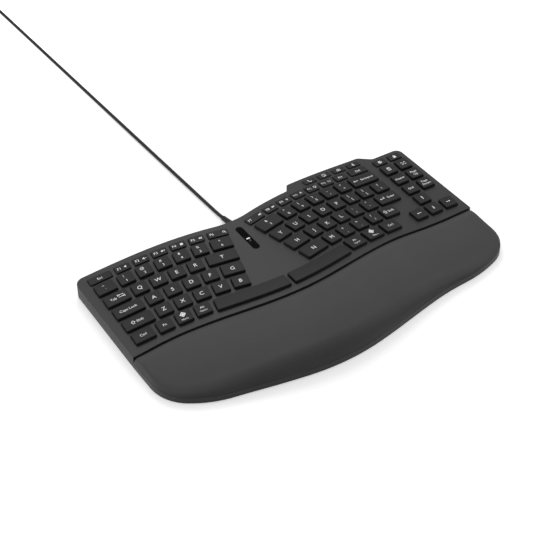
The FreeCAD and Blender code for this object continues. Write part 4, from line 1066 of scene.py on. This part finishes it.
def legend(key: KeyPlace) -> list[Mark]:
    """The marks on one key.

    Args:
        key: the key.

    Returns:
        The marks, empty where a key is blank.
    """
    name, half = key.name, key.width / 2
    if len(name) == 1 and name.isalpha():
        return [Mark(name.upper(), 4.6)]
    if name in PAIRS:
        high, low = PAIRS[name]
        return [Mark(high, 3.2, -1.2, 3.3), Mark(low, 3.2, -0.2, -3.0)]
    if name in SECOND_ICONS:
        share = 1.0 if len(name) == 2 else 0.8
        icon = SECOND_ICONS[name]
        return [Mark(name.upper(), 3.3 * share, -half + 4.4, 0.3), Mark(icon, 3.9 * share, half - 3.6, 0.1)]
    if name in LONE_ICONS:
        return [Mark(LONE_ICONS[name], 4.0 if name.startswith("call") else 4.6)]
    if name in WORDS:
        return [Mark(WORDS[name], 3.1)]
    shift = [Mark(Icon.SHIFT, 4.4, -5.0, 0.0), Mark("Shift", 3.0, 2.1, -0.1)]
    menu = [Mark(Icon.MENU, 5.2, 0, 2.4), Mark("Menu", 2.2, 0, -3.8)]
    option = [Mark("Alt", 2.6, 0, 1.8), Mark("Option", 1.9, 0, -2.6)]
    return {
        "page_up": [Mark("Page", 2.9, 0, 2.3), Mark("Up", 2.9, 0, -2.3)],
        "page_down": [Mark("Page", 2.9, 0, 2.3), Mark("Down", 2.9, 0, -2.3)],
        "tab": [Mark("Tab", 3.2, -3.6, -0.2), Mark(Icon.TABS, 5.4, 4.9, 0.6)],
        "backspace": [Mark(Icon.LEFT, 5.4, -half + 6.0, 0.2), Mark("Backspace", 2.8, 4.4, 0.0)],
        "enter": [Mark(Icon.ENTER, 5.0, -half + 6.4, 0.3), Mark("Enter", 3.0, 4.4, 0.0)],
        "shift_left": shift, "shift_right": shift, "system_left": menu, "system_right": menu,
        "alt_left": option, "alt_right": option,
    }.get(name, [])


@dataclass
class CapShape:
    """The rule of a cap's form: straight below the deck, drawn in above it, rounded, with a shallow dish."""

    skirt: float = 3.1
    corner: float = 1.3
    corner_start: float = 0.002
    draft: float = 0.4
    edge: float = 0.5
    edge_steps: int = 3
    band: float = 0.18
    band_fall: float = 0.006
    dish: float = 0.18
    arc_steps: int = 4
    inner: tuple[float, ...] = (0.86, 0.66, 0.4, 0.15)

    def rings(self) -> list[tuple[float, float, float, float]]:
        """Rings from the bottom to the middle of the top.

        Returns:
            For each ring its inset, its share of the rise, its height in mm and its share of the spread.
        """
        start = self.draft / CAP_RISE * (CAP_RISE - self.edge)
        rings = [(0.0, 0.0, -self.skirt, 1.0), (0.0, 0.0, 0.0, 1.0), (start, 1.0, -self.edge, 1.0)]
        for n in range(1, self.edge_steps + 1):
            turn = math.pi / 2 * n / self.edge_steps
            inset = start + self.edge * (1 - math.cos(turn))
            rings.append((inset, 1.0, -self.edge * (1 - math.sin(turn)), 1.0))
        last = start + self.edge + self.band
        rings.append((last, 1.0, -self.band_fall, 1.0))
        return rings + [(last, 1.0, self.sink(share), share) for share in self.inner]

    def sink(self, share: float) -> float:
        """Depth of the dish at a share of the way from the middle to the edge."""
        return -self.dish * (1 - share ** 2) - self.band_fall

    def profile(self) -> bpy.types.Mesh:
        """A cap of no width and depth, whose corners the tree moves apart.

        Returns:
            The mesh, with each point's share of the rise and of the spread.
        """
        points, lifts, spreads = [], [], []
        for inset, lift, height, spread in self.rings():
            radius = (self.corner - inset) * spread
            for quadrant in range(4):
                middle = math.pi / 2 * (quadrant + 0.5)
                for n in range(self.arc_steps + 1):
                    turn = math.pi / 2 * (quadrant + n / self.arc_steps)
                    x = radius * math.cos(turn) + math.copysign(self.corner_start, math.cos(middle))
                    y = radius * math.sin(turn) + math.copysign(self.corner_start, math.sin(middle))
                    points.append(Vector((x * MM, y * MM, height * MM)))
                    lifts.append(lift)
                    spreads.append(spread)
        around = 4 * (self.arc_steps + 1)
        faces = [tuple(reversed(range(around))), *ring_faces(len(self.rings()), around)]
        faces.append(tuple(range(len(points) - around, len(points))))
        mesh = bpy.data.meshes.new("cap_profile")
        mesh.from_pydata(points, [], faces)
        for name, values in (("lift", lifts), ("spread", spreads)):
            mesh.attributes.new(name, "FLOAT", "POINT").data.foreach_set("value", values)
        for face in mesh.polygons:
            face.use_smooth = len(face.vertices) == 4
        return mesh


def rule_tree(name: str, inputs: dict[str, str], output: str) -> bpy.types.NodeTree:
    """A geometry tree with named inputs and no node in it.

    Args:
        name: the tree's name.
        inputs: for each input the end of its socket's type name.
        output: the name of the geometry that comes out.

    Returns:
        The tree.
    """
    tree = bpy.data.node_groups.new(name, "GeometryNodeTree")
    for label, kind in inputs.items():
        tree.interface.new_socket(label, in_out="INPUT", socket_type="NodeSocket" + kind)
    tree.interface.new_socket(output, in_out="OUTPUT", socket_type="NodeSocketGeometry")
    return tree


def cap_tree() -> bpy.types.NodeTree:
    """Geometry tree of the caps: it puts a profile on each key's place and stretches it to the key's size.

    Returns:
        The tree, with the places, the profile and the plastic as named inputs.
    """
    tree = rule_tree("cap_rule", {"Places": "Geometry", "Profile": "Object", "Plastic": "Material"}, "Caps")
    given = add(tree, "NodeGroupInput").outputs
    profile = add(tree, "GeometryNodeObjectInfo", {}, {"Object": given["Profile"]}).outputs["Geometry"]
    placed = add(tree, "GeometryNodeInstanceOnPoints", {}, {"Points": given["Places"], "Instance": profile})
    real = add(tree, "GeometryNodeRealizeInstances", {}, {"Geometry": placed.outputs["Instances"]})
    seat, half, turn, spread, lift = (
        add(tree, "GeometryNodeInputNamedAttribute", {"data_type": kind}, {"Name": name}).outputs["Attribute"]
        for name, kind in (("seat", "FLOAT_VECTOR"), ("half", "FLOAT_VECTOR"), ("turn", "FLOAT_VECTOR"),
                           ("spread", "FLOAT"), ("lift", "FLOAT"))
    )
    position = add(tree, "GeometryNodeInputPosition").outputs[0]
    away = add(tree, "ShaderNodeVectorMath", {"operation": "SUBTRACT"}, {0: position, 1: seat}).outputs[0]
    local = add(tree, "ShaderNodeSeparateXYZ", {}, {0: away}).outputs
    full = add(tree, "ShaderNodeSeparateXYZ", {}, {0: half}).outputs
    stretched = []
    for axis in ("X", "Y", "Z"):
        share = lift
        if axis != "Z":
            sign = add(tree, "ShaderNodeMath", {"operation": "SIGN"}, {0: local[axis]}).outputs[0]
            share = add(tree, "ShaderNodeMath", {"operation": "MULTIPLY"}, {0: sign, 1: spread}).outputs[0]
        reach = add(tree, "ShaderNodeMath", {"operation": "MULTIPLY"}, {0: share, 1: full[axis]}).outputs[0]
        out = add(tree, "ShaderNodeMath", {"operation": "ADD"}, {0: local[axis], 1: reach}).outputs[0]
        stretched.append(out)
    flat = add(tree, "ShaderNodeCombineXYZ", {}, dict(enumerate(stretched))).outputs[0]
    turned = add(tree, "ShaderNodeVectorRotate", {"rotation_type": "EULER_XYZ"}, {
        "Vector": flat, "Rotation": turn,
    }).outputs[0]
    settled = add(tree, "ShaderNodeVectorMath", {"operation": "ADD"}, {0: turned, 1: seat}).outputs[0]
    moved = add(tree, "GeometryNodeSetPosition", {}, {
        "Geometry": real.outputs["Geometry"], "Position": settled,
    })
    dressed = add(tree, "GeometryNodeSetMaterial", {}, {
        "Geometry": moved.outputs["Geometry"], "Material": given["Plastic"],
    })
    add(tree, "NodeGroupOutput", {}, {"Caps": dressed.outputs["Geometry"]})
    return tree


def through_tree(name: str, source: bpy.types.Mesh, tree: bpy.types.NodeTree, inputs: dict) -> bpy.types.Mesh:
    """Runs a mesh through a geometry tree and returns the plain result.

    Args:
        name: the new mesh's name.
        source: the mesh that goes in.
        tree: the tree.
        inputs: a value for each named input.

    Returns:
        The result as a mesh with no material.
    """
    helper = new_piece(name + "_source", source)
    modifier = helper.modifiers.new("rule", "NODES")
    modifier.node_group = tree
    for item in tree.interface.items_tree:
        if item.item_type == "SOCKET" and item.in_out == "INPUT" and item.name in inputs:
            modifier[item.identifier] = inputs[item.name]
    made = plain_mesh(helper)
    made.name = name
    made.materials.clear()
    made.polygons.foreach_set("material_index", [0] * len(made.polygons))
    return made


def plain_mesh(helper: bpy.types.Object) -> bpy.types.Mesh:
    """Turns a text or an object with a modifier into a plain mesh and removes the object.

    Args:
        helper: the object.

    Returns:
        The mesh.
    """
    bpy.context.view_layer.update()
    graph = bpy.context.evaluated_depsgraph_get()
    made = bpy.data.meshes.new_from_object(helper.evaluated_get(graph), depsgraph=graph)
    bpy.data.objects.remove(helper)
    return made


class Printer:
    """Turns texts and symbols into flat shapes on a cap."""

    def __init__(self) -> None:
        """Starts with no texts made."""
        self.known: dict[str, tuple[list[Point], Faces]] = {}

    def text(self, words: str) -> tuple[list[Point], Faces]:
        """A text as flat shapes about its middle, in units of a capital's height.

        Args:
            words: the text.

        Returns:
            Points and faces.
        """
        if words not in self.known:
            curve = bpy.data.curves.new("letters", "FONT")
            curve.body = words
            curve.resolution_u = 3
            mesh = plain_mesh(new_piece("letters", curve))
            places = [(v.co.x, v.co.y) for v in mesh.vertices]
            middle = (min(p[0] for p in places) + max(p[0] for p in places)) / 2
            self.known[words] = (
                [((x - middle) / CAPITAL, (y - CAPITAL / 2) / CAPITAL) for x, y in places],
                [tuple(f.vertices) for f in mesh.polygons],
            )
        return self.known[words]

    def marks(self, marks: list[Mark]) -> tuple[list[Point], Faces]:
        """All marks of one key, in mm on its cap.

        Args:
            marks: the marks.

        Returns:
            Points and faces.
        """
        points: list[Point] = []
        faces: Faces = []
        for mark in marks:
            drawn = icon_drawing(mark.what).faces() if isinstance(mark.what, Icon) else self.text(mark.what)
            faces += [tuple(len(points) + n for n in shape) for shape in drawn[1]]
            points += [(mark.x + x * mark.size, mark.y + y * mark.size) for x, y in drawn[0]]
        return points, faces


@dataclass
class KeyField:
    """All keys but the space keys: one piece for each node, with its legends on it."""

    layout: KeyLayout
    shape: CapShape = field(default_factory=CapShape)
    ink_height: float = 0.035
    dish_margin: float = 1.0

    def source(self, keys: list[KeyPlace]) -> bpy.types.Mesh:
        """The keys' places with their sizes as stored values.

        Args:
            keys: the keys of one node.

        Returns:
            A mesh of points alone.
        """
        seats = [key.seat(self.layout) for key in keys]
        places = [at(*seat.translation) for seat in seats]
        mesh = bpy.data.meshes.new("key_places")
        mesh.from_pydata(places, [], [])
        corner = self.shape.corner
        halves = [Vector((key.width / 2 - corner, key.depth / 2 - corner, key.rise)) * MM for key in keys]
        turns = [Vector(seat.to_euler("XYZ")) for seat in seats]
        for name, values in (("seat", places), ("half", halves), ("turn", turns)):
            flat = [c for value in values for c in value]
            mesh.attributes.new(name, "FLOAT_VECTOR", "POINT").data.foreach_set("vector", flat)
        return mesh

    def printed(self, key: KeyPlace, printer: Printer) -> tuple[list[Vector], Faces]:
        """A key's legend in the part's frame, lying on its dished top.

        Args:
            key: the key.
            printer: what draws the marks.

        Returns:
            Points and faces.
        """
        points, faces = printer.marks(legend(key))
        seat, placed = key.seat(self.layout), []
        half_x, half_y = key.width / 2 - self.dish_margin, key.depth / 2 - self.dish_margin
        for x, y in points:
            share = max(abs(x) / half_x, abs(y) / half_y)
            height = key.rise + self.shape.sink(min(share, 1.0)) + self.ink_height
            placed.append(at(*(seat @ Vector((x, y, height)))))
        return placed, faces

    def build(self) -> list[bpy.types.Object]:
        """One piece for each key node.

        Returns:
            The pieces.
        """
        profile = new_piece("cap_profile", self.shape.profile())
        tree, printer, pieces = cap_tree(), Printer(), []
        inputs = {"Profile": profile, "Plastic": CAP_ABS.material()}
        nodes: dict[str, list[KeyPlace]] = {}
        for key in self.layout.keys():
            nodes.setdefault(key.node, []).append(key)
        for node, keys in nodes.items():
            name = node + "_caps" if len(keys) > 1 else node + "_cap"
            mesh = through_tree(name, self.source(keys), tree, inputs)
            mesh.materials.append(CAP_ABS.material())
            for key in keys:
                add_print(mesh, *self.printed(key, printer))
            pieces.append(finished(new_piece(name, mesh), CAP_ABS, node, node))
        bpy.data.objects.remove(profile)
        return pieces


@dataclass
class SpaceKey:
    """A long key that follows the seam and the dome, one on each half."""

    dome: Dome
    outline: Outline
    side: int
    outer: float
    inner: float = 2.2
    strip: float = 7.8
    least_corner: float = 0.2
    shape: CapShape = field(default_factory=lambda: CapShape(skirt=2.8))
    long_steps: int = 22

    def place(self, along: float, across: float, height: float) -> Vector:
        """A place on or above the deck, in the part's frame.

        Args:
            along: the x of the place on the seam that it lies behind.
            across: its distance from the seam.
            height: its height above the deck.

        Returns:
            The place.
        """
        angle = self.outline.seam_angle(along)
        x = along - across * math.sin(angle)
        y = self.outline.seam(along) + across * math.cos(angle)
        return at(x, y, self.dome.height(x) + height)

    def loop(self, inset: float, spread: float) -> list[Point]:
        """The cap's outline as places along and across.

        Args:
            inset: how far it is drawn in.
            spread: the share of the depth that it keeps.

        Returns:
            The places, each corner as an arc and each long side in short steps.
        """
        low, high = sorted((self.side * self.inner, self.side * self.outer))
        corner = max(self.shape.corner - inset, self.least_corner)
        half_a, half_c = (high - low) / 2 - inset, CAP_SIZE / 2 - inset
        centre_a, centre_c = (high + low) / 2, self.strip + CAP_SIZE / 2
        places = []
        for quadrant, (sa, sc) in enumerate(((1, 1), (-1, 1), (-1, -1), (1, -1))):
            for n in range(self.shape.arc_steps + 1):
                turn = math.pi / 2 * (quadrant + n / self.shape.arc_steps)
                places.append((sa * (half_a - corner) + corner * math.cos(turn),
                               sc * (half_c - corner) + corner * math.sin(turn)))
            if quadrant in (0, 2):
                reach = sa * (half_a - corner)
                shares = [1 - 2 * n / self.long_steps for n in range(1, self.long_steps)]
                places += [(reach * share, sc * half_c) for share in shares]
        return [(centre_a + a, centre_c + c * spread) for a, c in places]

    def top(self, ring: list[int]) -> Faces:
        """Closes the last ring of the top with narrow faces across it.

        Args:
            ring: the ring's points, from the middle of its right end round the back.

        Returns:
            A face for each end and one for each step of the long sides.
        """
        steps, side = self.shape.arc_steps + 1, self.long_steps - 1
        back = ring[steps:steps + side]
        front = ring[3 * steps + side:][:side][::-1]
        right = ring[-steps:] + ring[:steps]
        left = ring[steps + side:3 * steps + side]
        strips = [(back[n], back[n + 1], front[n + 1], front[n]) for n in range(side - 1)]
        return [(*right, back[0], front[0]), *strips, (back[-1], *left, front[-1])]

    def build(self) -> bpy.types.Object:
        """The key as one closed mesh.

        Returns:
            The piece.
        """
        points, rings = [], self.shape.rings()
        for inset, lift, height, spread in rings:
            points += [self.place(a, c, lift * CAP_RISE + height) for a, c in self.loop(inset, spread)]
        around = len(points) // len(rings)
        faces = [tuple(reversed(range(around))), *ring_faces(len(rings), around)]
        faces += self.top(list(range(len(points) - around, len(points))))
        node = "key_space_left" if self.side < 0 else "key_space_right"
        return finished(new_piece(node + "_cap", mesh_of(node + "_cap", points, faces)), CAP_ABS, node, node)


@dataclass
class Housing:
    """Deck, tray, indicator window, feet and the inner pieces."""

    frame: dict
    icon_place: Point = (0.0, 17.4)
    icon_size: float = 2.6
    marks: tuple[tuple[Drawing, float], ...] = (
        (Drawing().box(-0.75, -0.32, 0.75, 0.32), 1.6), (Drawing().ring(0, 0, 0.34), -1.9),
    )
    ink_height: float = 0.03

    def shell(self) -> None:
        """The deck, the tray and the lead's sleeve, as smooth copies of their nodes."""
        for node, name, finish in (("top_case", "deck", DECK_ABS), ("bottom_case", "tray", TRAY_ABS),
                                   ("strain_relief", "lead_sleeve", LEAD_PVC)):
            smoothed(self.frame, node, name, finish)

    def window(self) -> None:
        """The window with its two printed symbols."""
        lens = smoothed(self.frame, "indicator_window", "window_lens", WINDOW_ACRYLIC).data
        top = max(v.co.z for v in lens.vertices) / MM + self.ink_height
        x, y = self.icon_place
        size = self.icon_size
        for drawing, away in self.marks:
            points, faces = drawing.faces()
            add_print(lens, [at(x + px * size, y + away + py * size, top) for px, py in points], faces)

    def feet(self) -> None:
        """The fold-out feet, each on its own body, and the rubber pads."""
        for side in ("left", "right"):
            node = "tilt_foot_" + side
            smoothed(self.frame, node, "fold_out_foot_" + side, TRAY_ABS, node)
        smoothed(self.frame, "rubber_feet", "foot_pads", FOOT_RUBBER)

    def inside(self) -> None:
        """Gives the nodes below the deck their finishes."""
        for node, finish in NODE_FINISHES.items():
            materials = self.frame["nodes"][node].data.materials
            materials.clear()
            materials.append(finish.material())
            LOG.info("%s stays, in %s", node, finish.name)


@dataclass
class Screws:
    """Pan head screws with a cross recess, head down, placed by a geometry tree."""

    places: tuple[Point, ...] = (
        (-161.0, 58.0), (-162.6, 5.0), (-164.2, -38.0), (0.0, 45.6), (0.0, -12.0), (0.0, -38.0),
        (180.5, 26.0), (180.5, -12.0), (-70.0, -80.0), (70.0, -80.0), (-40.0, -124.0), (60.0, -120.0),
    )
    low: float = 2.0
    recess_radius: float = 0.9
    recess_depth: float = 0.35
    recess_share: float = 0.55
    head_radius: float = 2.5
    head_height: float = 1.6
    shank_radius: float = 1.2
    shank_length: float = 8.8
    threads: int = 7
    thread_rise: float = 0.3
    thread_share: float = 0.82
    tip_radius: float = 0.4
    sides: int = 20
    weld: float = 0.0001
    seed: int = 4

    def one(self) -> bpy.types.Mesh:
        """One screw about the origin, with a rounded head.

        Returns:
            The mesh, head down.
        """
        recess = (self.recess_radius, self.recess_depth)
        top = self.head_height + self.shank_length
        profile = [(0.0, self.recess_depth), recess, (1.0, 0.0), (1.9, 0.06), (2.35, 0.35),
                   (self.head_radius, 0.8), (self.head_radius, self.head_height),
                   (self.shank_radius, self.head_height)]
        for n in range(self.threads):
            z = self.head_height + (n + 0.5) * self.shank_length / self.threads
            profile += [(self.shank_radius, z - self.thread_rise), (self.shank_radius * self.thread_share, z)]
        profile += [(self.tip_radius, top - self.thread_rise), (0.0, top)]
        points = []
        for radius, z in profile:
            for n in range(self.sides):
                a = 2 * math.pi * n / self.sides
                inward = self.recess_share if (radius, z) == recess and n % (self.sides // 4) else 1.0
                points.append(Vector((radius * inward * math.cos(a), radius * inward * math.sin(a), z)) * MM)
        mesh = mesh_of("screw", points, ring_faces(len(profile), self.sides))
        with editing(mesh) as shell:
            bmesh.ops.remove_doubles(shell, verts=shell.verts, dist=self.weld * MM)
            bmesh.ops.recalc_face_normals(shell, faces=shell.faces)
        return mesh

    def tree(self) -> bpy.types.NodeTree:
        """Geometry tree that puts a screw on each place and turns each by chance, with a fixed seed.

        Returns:
            The tree, with the places, the screw, the seed and the metal as named inputs.
        """
        tree = rule_tree("screw_rule", {
            "Places": "Geometry", "Screw": "Object", "Seed": "Int", "Metal": "Material",
        }, "Screws")
        given = add(tree, "NodeGroupInput").outputs
        screw = add(tree, "GeometryNodeObjectInfo", {}, {"Object": given["Screw"]}).outputs["Geometry"]
        chance = add(tree, "FunctionNodeRandomValue", {"data_type": "FLOAT"}, {
            "Max": 2 * math.pi, "Seed": given["Seed"],
        })
        turn = add(tree, "ShaderNodeCombineXYZ", {}, {2: chance.outputs[1]}).outputs[0]
        placed = add(tree, "GeometryNodeInstanceOnPoints", {}, {
            "Points": given["Places"], "Instance": screw, "Rotation": turn,
        }).outputs["Instances"]
        real = add(tree, "GeometryNodeRealizeInstances", {}, {"Geometry": placed}).outputs["Geometry"]
        dressed = add(tree, "GeometryNodeSetMaterial", {}, {"Geometry": real, "Material": given["Metal"]})
        add(tree, "NodeGroupOutput", {}, {"Screws": dressed.outputs["Geometry"]})
        return tree

    def build(self) -> bpy.types.Object:
        """All screws as one piece.

        Returns:
            The piece.
        """
        source = bpy.data.meshes.new("screw_places")
        source.from_pydata([at(x, y, self.low) for x, y in self.places], [], [])
        one = new_piece("one_screw", self.one())
        mesh = through_tree("screws", source, self.tree(), {
            "Screw": one, "Seed": self.seed, "Metal": SHEET_STEEL.material(),
        })
        bpy.data.objects.remove(one)
        return finished(new_piece("screws", mesh), SHEET_STEEL, "case", "case_screws")


@dataclass
class Lead:
    """The lead: straight on the table, then wound into a flat coil beyond the picture."""

    diameter: float = 3.8
    lift: float = 0.06
    exit: Point = (14.4, 54.0)
    heading: float = 2.07
    sleeve_length: float = 34.0
    sleeve_slope: float = 8.0
    parting_height: float = 8.0
    first_run: float = 6.0
    landing: float = 24.0
    coil_place: float = 612.0
    coil_radius: float = 31.2
    coil_gap: float = 0.5
    half_turns: int = 19
    points_a_turn: int = 16
    end_step: float = 0.01
    tail: float = 34.0
    tail_share: float = 0.3
    plug_thickness: float = 8.0
    length: float = 1816.0

    def way(self) -> Vector:
        """The lead's direction on the table."""
        turn = math.radians(self.heading)
        return Vector((-math.sin(turn), math.cos(turn), 0.0))

    def down(self) -> Vector:
        """The sleeve's direction, which slopes to the table."""
        slant = math.radians(self.sleeve_slope)
        return self.way() * math.cos(slant) - Vector((0, 0, math.sin(slant)))

    def tip(self) -> Vector:
        """Where the lead leaves the sleeve."""
        return Vector((*self.exit, self.parting_height)) + self.down() * self.sleeve_length

    def straight(self) -> list[Vector]:
        """The route from the sleeve to the coil.

        Returns:
            Its four points.
        """
        tip, height = self.tip(), self.diameter / 2 + self.lift
        second = tip + self.way() * self.landing
        end = tip + self.way() * ((self.coil_place - self.diameter - tip.y) / self.way().y)
        return [tip, tip + self.down() * self.first_run, Vector((second.x, second.y, height)),
                Vector((end.x, end.y, height))]

    def coil(self) -> list[Vector]:
        """The coil's route and the lead's end in the plug.

        Returns:
            The points of the turns, of the tail and of the end.
        """
        pitch = self.diameter + self.coil_gap
        rate = pitch / (2 * math.pi)
        last = self.half_turns * math.pi
        lead_turn = math.radians(self.heading) - math.atan(rate / self.coil_radius)
        start = self.straight()[-1] + self.way() * self.diameter
        centre = start - Vector((math.cos(lead_turn), math.sin(lead_turn), 0)) * self.coil_radius

        def place(angle: float, grow: float) -> Vector:
            """A place on the spiral, which runs in on the table and out again on top of itself.

            Args:
                angle: how far it is along the turns, in radians.
                grow: the share of its radius by which it is moved out.

            Returns:
                The place.
            """
            radius = (self.coil_radius - rate * (last / 2 - abs(angle - last / 2))) * grow
            climb = min(max((angle - last / 2 + math.pi / 2) / math.pi, 0.0), 1.0)
            height = pitch * (1 - math.cos(math.pi * climb)) / 2
            turn = angle + lead_turn
            return centre + Vector((radius * math.cos(turn), radius * math.sin(turn), height))

        step = 2 * math.pi / self.points_a_turn
        grow = 2 / (1 + math.cos(step / 2))
        points = [place((n + 0.5) * step, grow) for n in range(round(last / step))]
        end = place(last, 1.0)
        run = end - place(last - self.end_step, 1.0)
        run = Vector((run.x, run.y, 0)).normalized()
        stop = end + run * self.tail + Vector((0, 0, self.plug_thickness / 2 - end.z))
        ease = run * self.tail * self.tail_share
        return [start, *points, end + ease, stop - ease, stop, stop + run * self.diameter]

    def build(self) -> bpy.types.Object:
        """The lead as one curve of one spline.

        Returns:
            The piece.
        """
        route = self.straight() + self.coil()
        curve = bpy.data.curves.new("lead", "CURVE")
        curve.dimensions = "3D"
        curve.bevel_depth = self.diameter / 2 * MM
        curve.bevel_resolution = 6
        curve.resolution_u = 4
        curve.use_fill_caps = True
        spline = curve.splines.new("NURBS")
        spline.points.add(len(route) - 1)
        for point, place in zip(spline.points, route):
            point.co = (*at(*place), 1.0)
        spline.order_u = 3
        spline.use_endpoint_u = True
        return finished(new_piece("lead", curve), LEAD_PVC, "case", "usb_cord", "usb_cord_coil")

    def plug(self, frame: dict) -> list[bpy.types.Object]:
        """The plug's moulded grip and its metal shell, as smooth copies of their nodes.


        Returns:
            The two pieces.
        """
        return [
            smoothed(frame, "usb_plug_grip", "plug_grip", GRIP_PVC),
            smoothed(frame, "usb_plug_shell", "plug_shell", SHEET_STEEL),
        ]


@dataclass(frozen=True)
class Lamp:
    """A soft square lamp: its direction in degrees, its distance and side in metres and its power."""

    name: str
    azimuth: float
    elevation: float
    distance: float
    side: float
    power: float


@dataclass
class Studio:
    """Plain pale floor, soft lamps and the camera. Azimuths count from the front to the right."""

    azimuth: float = -33.54
    elevation: float = 42.08
    distance: float = 1437.0
    target: tuple[float, float, float] = (-7.66, -49.16, 31.0)
    focal: float = 97.07
    film: float = 36.0
    lamps: tuple[Lamp, ...] = (
        Lamp("back_lamp", 160.0, 50.0, 2.3, 1.1, 14.0),
        Lamp("left_lamp", -116.0, 7.0, 2.4, 0.55, 18.0),
        Lamp("right_lamp", 75.0, 24.0, 2.4, 1.0, 6.0),
    )
    lamp_target: tuple[float, float, float] = (0.0, 0.0, 0.02)
    floor_half: float = 6.0
    # Distance in metres from the origin over which the floor's own light rises from the near to the far value
    glow: dict[str, float] = field(default_factory=lambda: {
        "From Min": 0.25, "From Max": 0.6, "To Min": 0.42, "To Max": 1.0,
    })
    # Strength of the world for the object, and for what looks past the floor
    soft: float = 0.55
    bright: float = 1.0

    def stand(self, name: str, data: bpy.types.ID, way: Vector, place: Vector) -> bpy.types.Object:
        """Stands a lamp or the camera where it looks at its target.

        Args:
            name: the object's name.
            data: the lamp or the camera.
            way: direction from the target to it.
            place: where it stands.

        Returns:
            The object.
        """
        thing = new_piece(name, data)
        thing.matrix_world = Matrix.Translation(place) @ way.to_track_quat("Z", "Y").to_matrix().to_4x4()
        return thing

    def way(self, azimuth: float, elevation: float) -> Vector:
        """Direction to a place that is seen from the target at two angles in degrees."""
        a, e = math.radians(azimuth), math.radians(elevation)
        return Vector((math.sin(a) * math.cos(e), -math.cos(a) * math.cos(e), math.sin(e)))

    def camera(self) -> None:
        """The camera at the picture's angle."""
        data = bpy.data.cameras.new("camera")
        data.lens = self.focal
        data.sensor_width = self.film
        data.clip_end = 50.0
        back = self.way(self.azimuth, self.elevation)
        place = at(*self.target) + back * self.distance * MM
        bpy.context.scene.camera = self.stand("camera", data, back, place)

    def light(self, lamp: Lamp) -> None:
        """Stands one soft square lamp that looks at the object.

        Args:
            lamp: which one.
        """
        data = bpy.data.lights.new(lamp.name, "AREA")
        data.shape = "SQUARE"
        data.size = lamp.side
        data.energy = lamp.power
        way = self.way(lamp.azimuth, lamp.elevation)
        self.stand(lamp.name, data, way, Vector(self.lamp_target) + way * lamp.distance)

    def looking(self, tree: bpy.types.NodeTree) -> bpy.types.NodeSocket:
        """Tells the rays of the camera, of a reflection and of what shows through glass from all others.

        Args:
            tree: the shader tree of the floor or the world.

        Returns:
            A socket that is 1 for those rays and 0 for the others.
        """
        path = add(tree, "ShaderNodeLightPath").outputs
        seen = path["Is Camera Ray"]
        for kind in ("Is Glossy Ray", "Is Transmission Ray"):
            seen = add(tree, "ShaderNodeMath", {"operation": "MAXIMUM"}, {0: seen, 1: path[kind]}).outputs[0]
        return seen

    def floor(self) -> None:
        """The floor: white, and shown as white where no shadow lies."""
        half = self.floor_half
        mesh = bpy.data.meshes.new("floor")
        mesh.from_pydata([(-half, -half, 0), (half, -half, 0), (half, half, 0), (-half, half, 0)], [],
                         [(0, 1, 2, 3)])
        floor = new_piece("floor", mesh)
        made = bpy.data.materials.new("paper_white_floor")
        tree = shader_tree(made)
        paper, grey = (
            add(tree, "ShaderNodeBsdfDiffuse", {}, {"Color": linear(colour)}).outputs[0]
            for colour in ("#f4f4f4", "#5c5c5c")
        )
        place = add(tree, "ShaderNodeTexCoord").outputs["Object"]
        away = add(tree, "ShaderNodeVectorMath", {"operation": "LENGTH"}, {0: place}).outputs["Value"]
        rise = add(tree, "ShaderNodeMapRange", {"interpolation_type": "SMOOTHSTEP"}, {
            "Value": away, **self.glow,
        }).outputs["Result"]
        glow = add(tree, "ShaderNodeEmission", {}, {"Color": linear("#ffffff"), "Strength": rise}).outputs[0]
        both = add(tree, "ShaderNodeAddShader", {}, {0: paper, 1: glow}).outputs[0]
        mixed = add(tree, "ShaderNodeMixShader", {}, {0: self.looking(tree), 1: grey, 2: both}).outputs[0]
        add(tree, "ShaderNodeOutputMaterial", {}, {"Surface": mixed})
        mesh.materials.append(made)
        floor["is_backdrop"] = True

    def world(self) -> None:
        """An even pale world, which is white where it is looked at."""
        world = bpy.data.worlds.new("studio")
        tree = shader_tree(world)
        white = linear("#ffffff")
        soft, bright = (
            add(tree, "ShaderNodeBackground", {}, {"Color": white, "Strength": strength}).outputs[0]
            for strength in (self.soft, self.bright)
        )
        mixed = add(tree, "ShaderNodeMixShader", {}, {0: self.looking(tree), 1: soft, 2: bright}).outputs[0]
        add(tree, "ShaderNodeOutputWorld", {}, {"Surface": mixed})
        bpy.context.scene.world = world

    def build(self) -> None:
        """Floor, world, lamps and camera."""
        self.floor()
        self.world()
        for lamp in self.lamps:
            self.light(lamp)
        self.camera()
        bpy.context.scene.view_settings.view_transform = "Standard"


def corners() -> list[list[float]]:
    """The lowest and highest corner of what is shown, as plain lists."""
    return [[float(c) for c in corner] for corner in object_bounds()]


def main() -> None:
    """Builds every part of the keyboard in order and reports it."""
    logging.basicConfig(level=logging.INFO, format="%(name)s: %(message)s")
    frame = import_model()
    dome, outline = Dome(), Outline()
    housing = Housing(frame)
    housing.shell()
    housing.window()
    housing.feet()
    housing.inside()
    Screws().build()
    PalmRest(dome, outline).build()
    KeyField(KeyLayout(dome)).build()
    SpaceKey(dome, outline, -1, 79.3).build()
    SpaceKey(dome, outline, 1, 76.9).build()
    lead = Lead()
    piece = lead.build()
    lead.plug(frame)
    Studio().build()


if __name__ == "__main__":
    main()
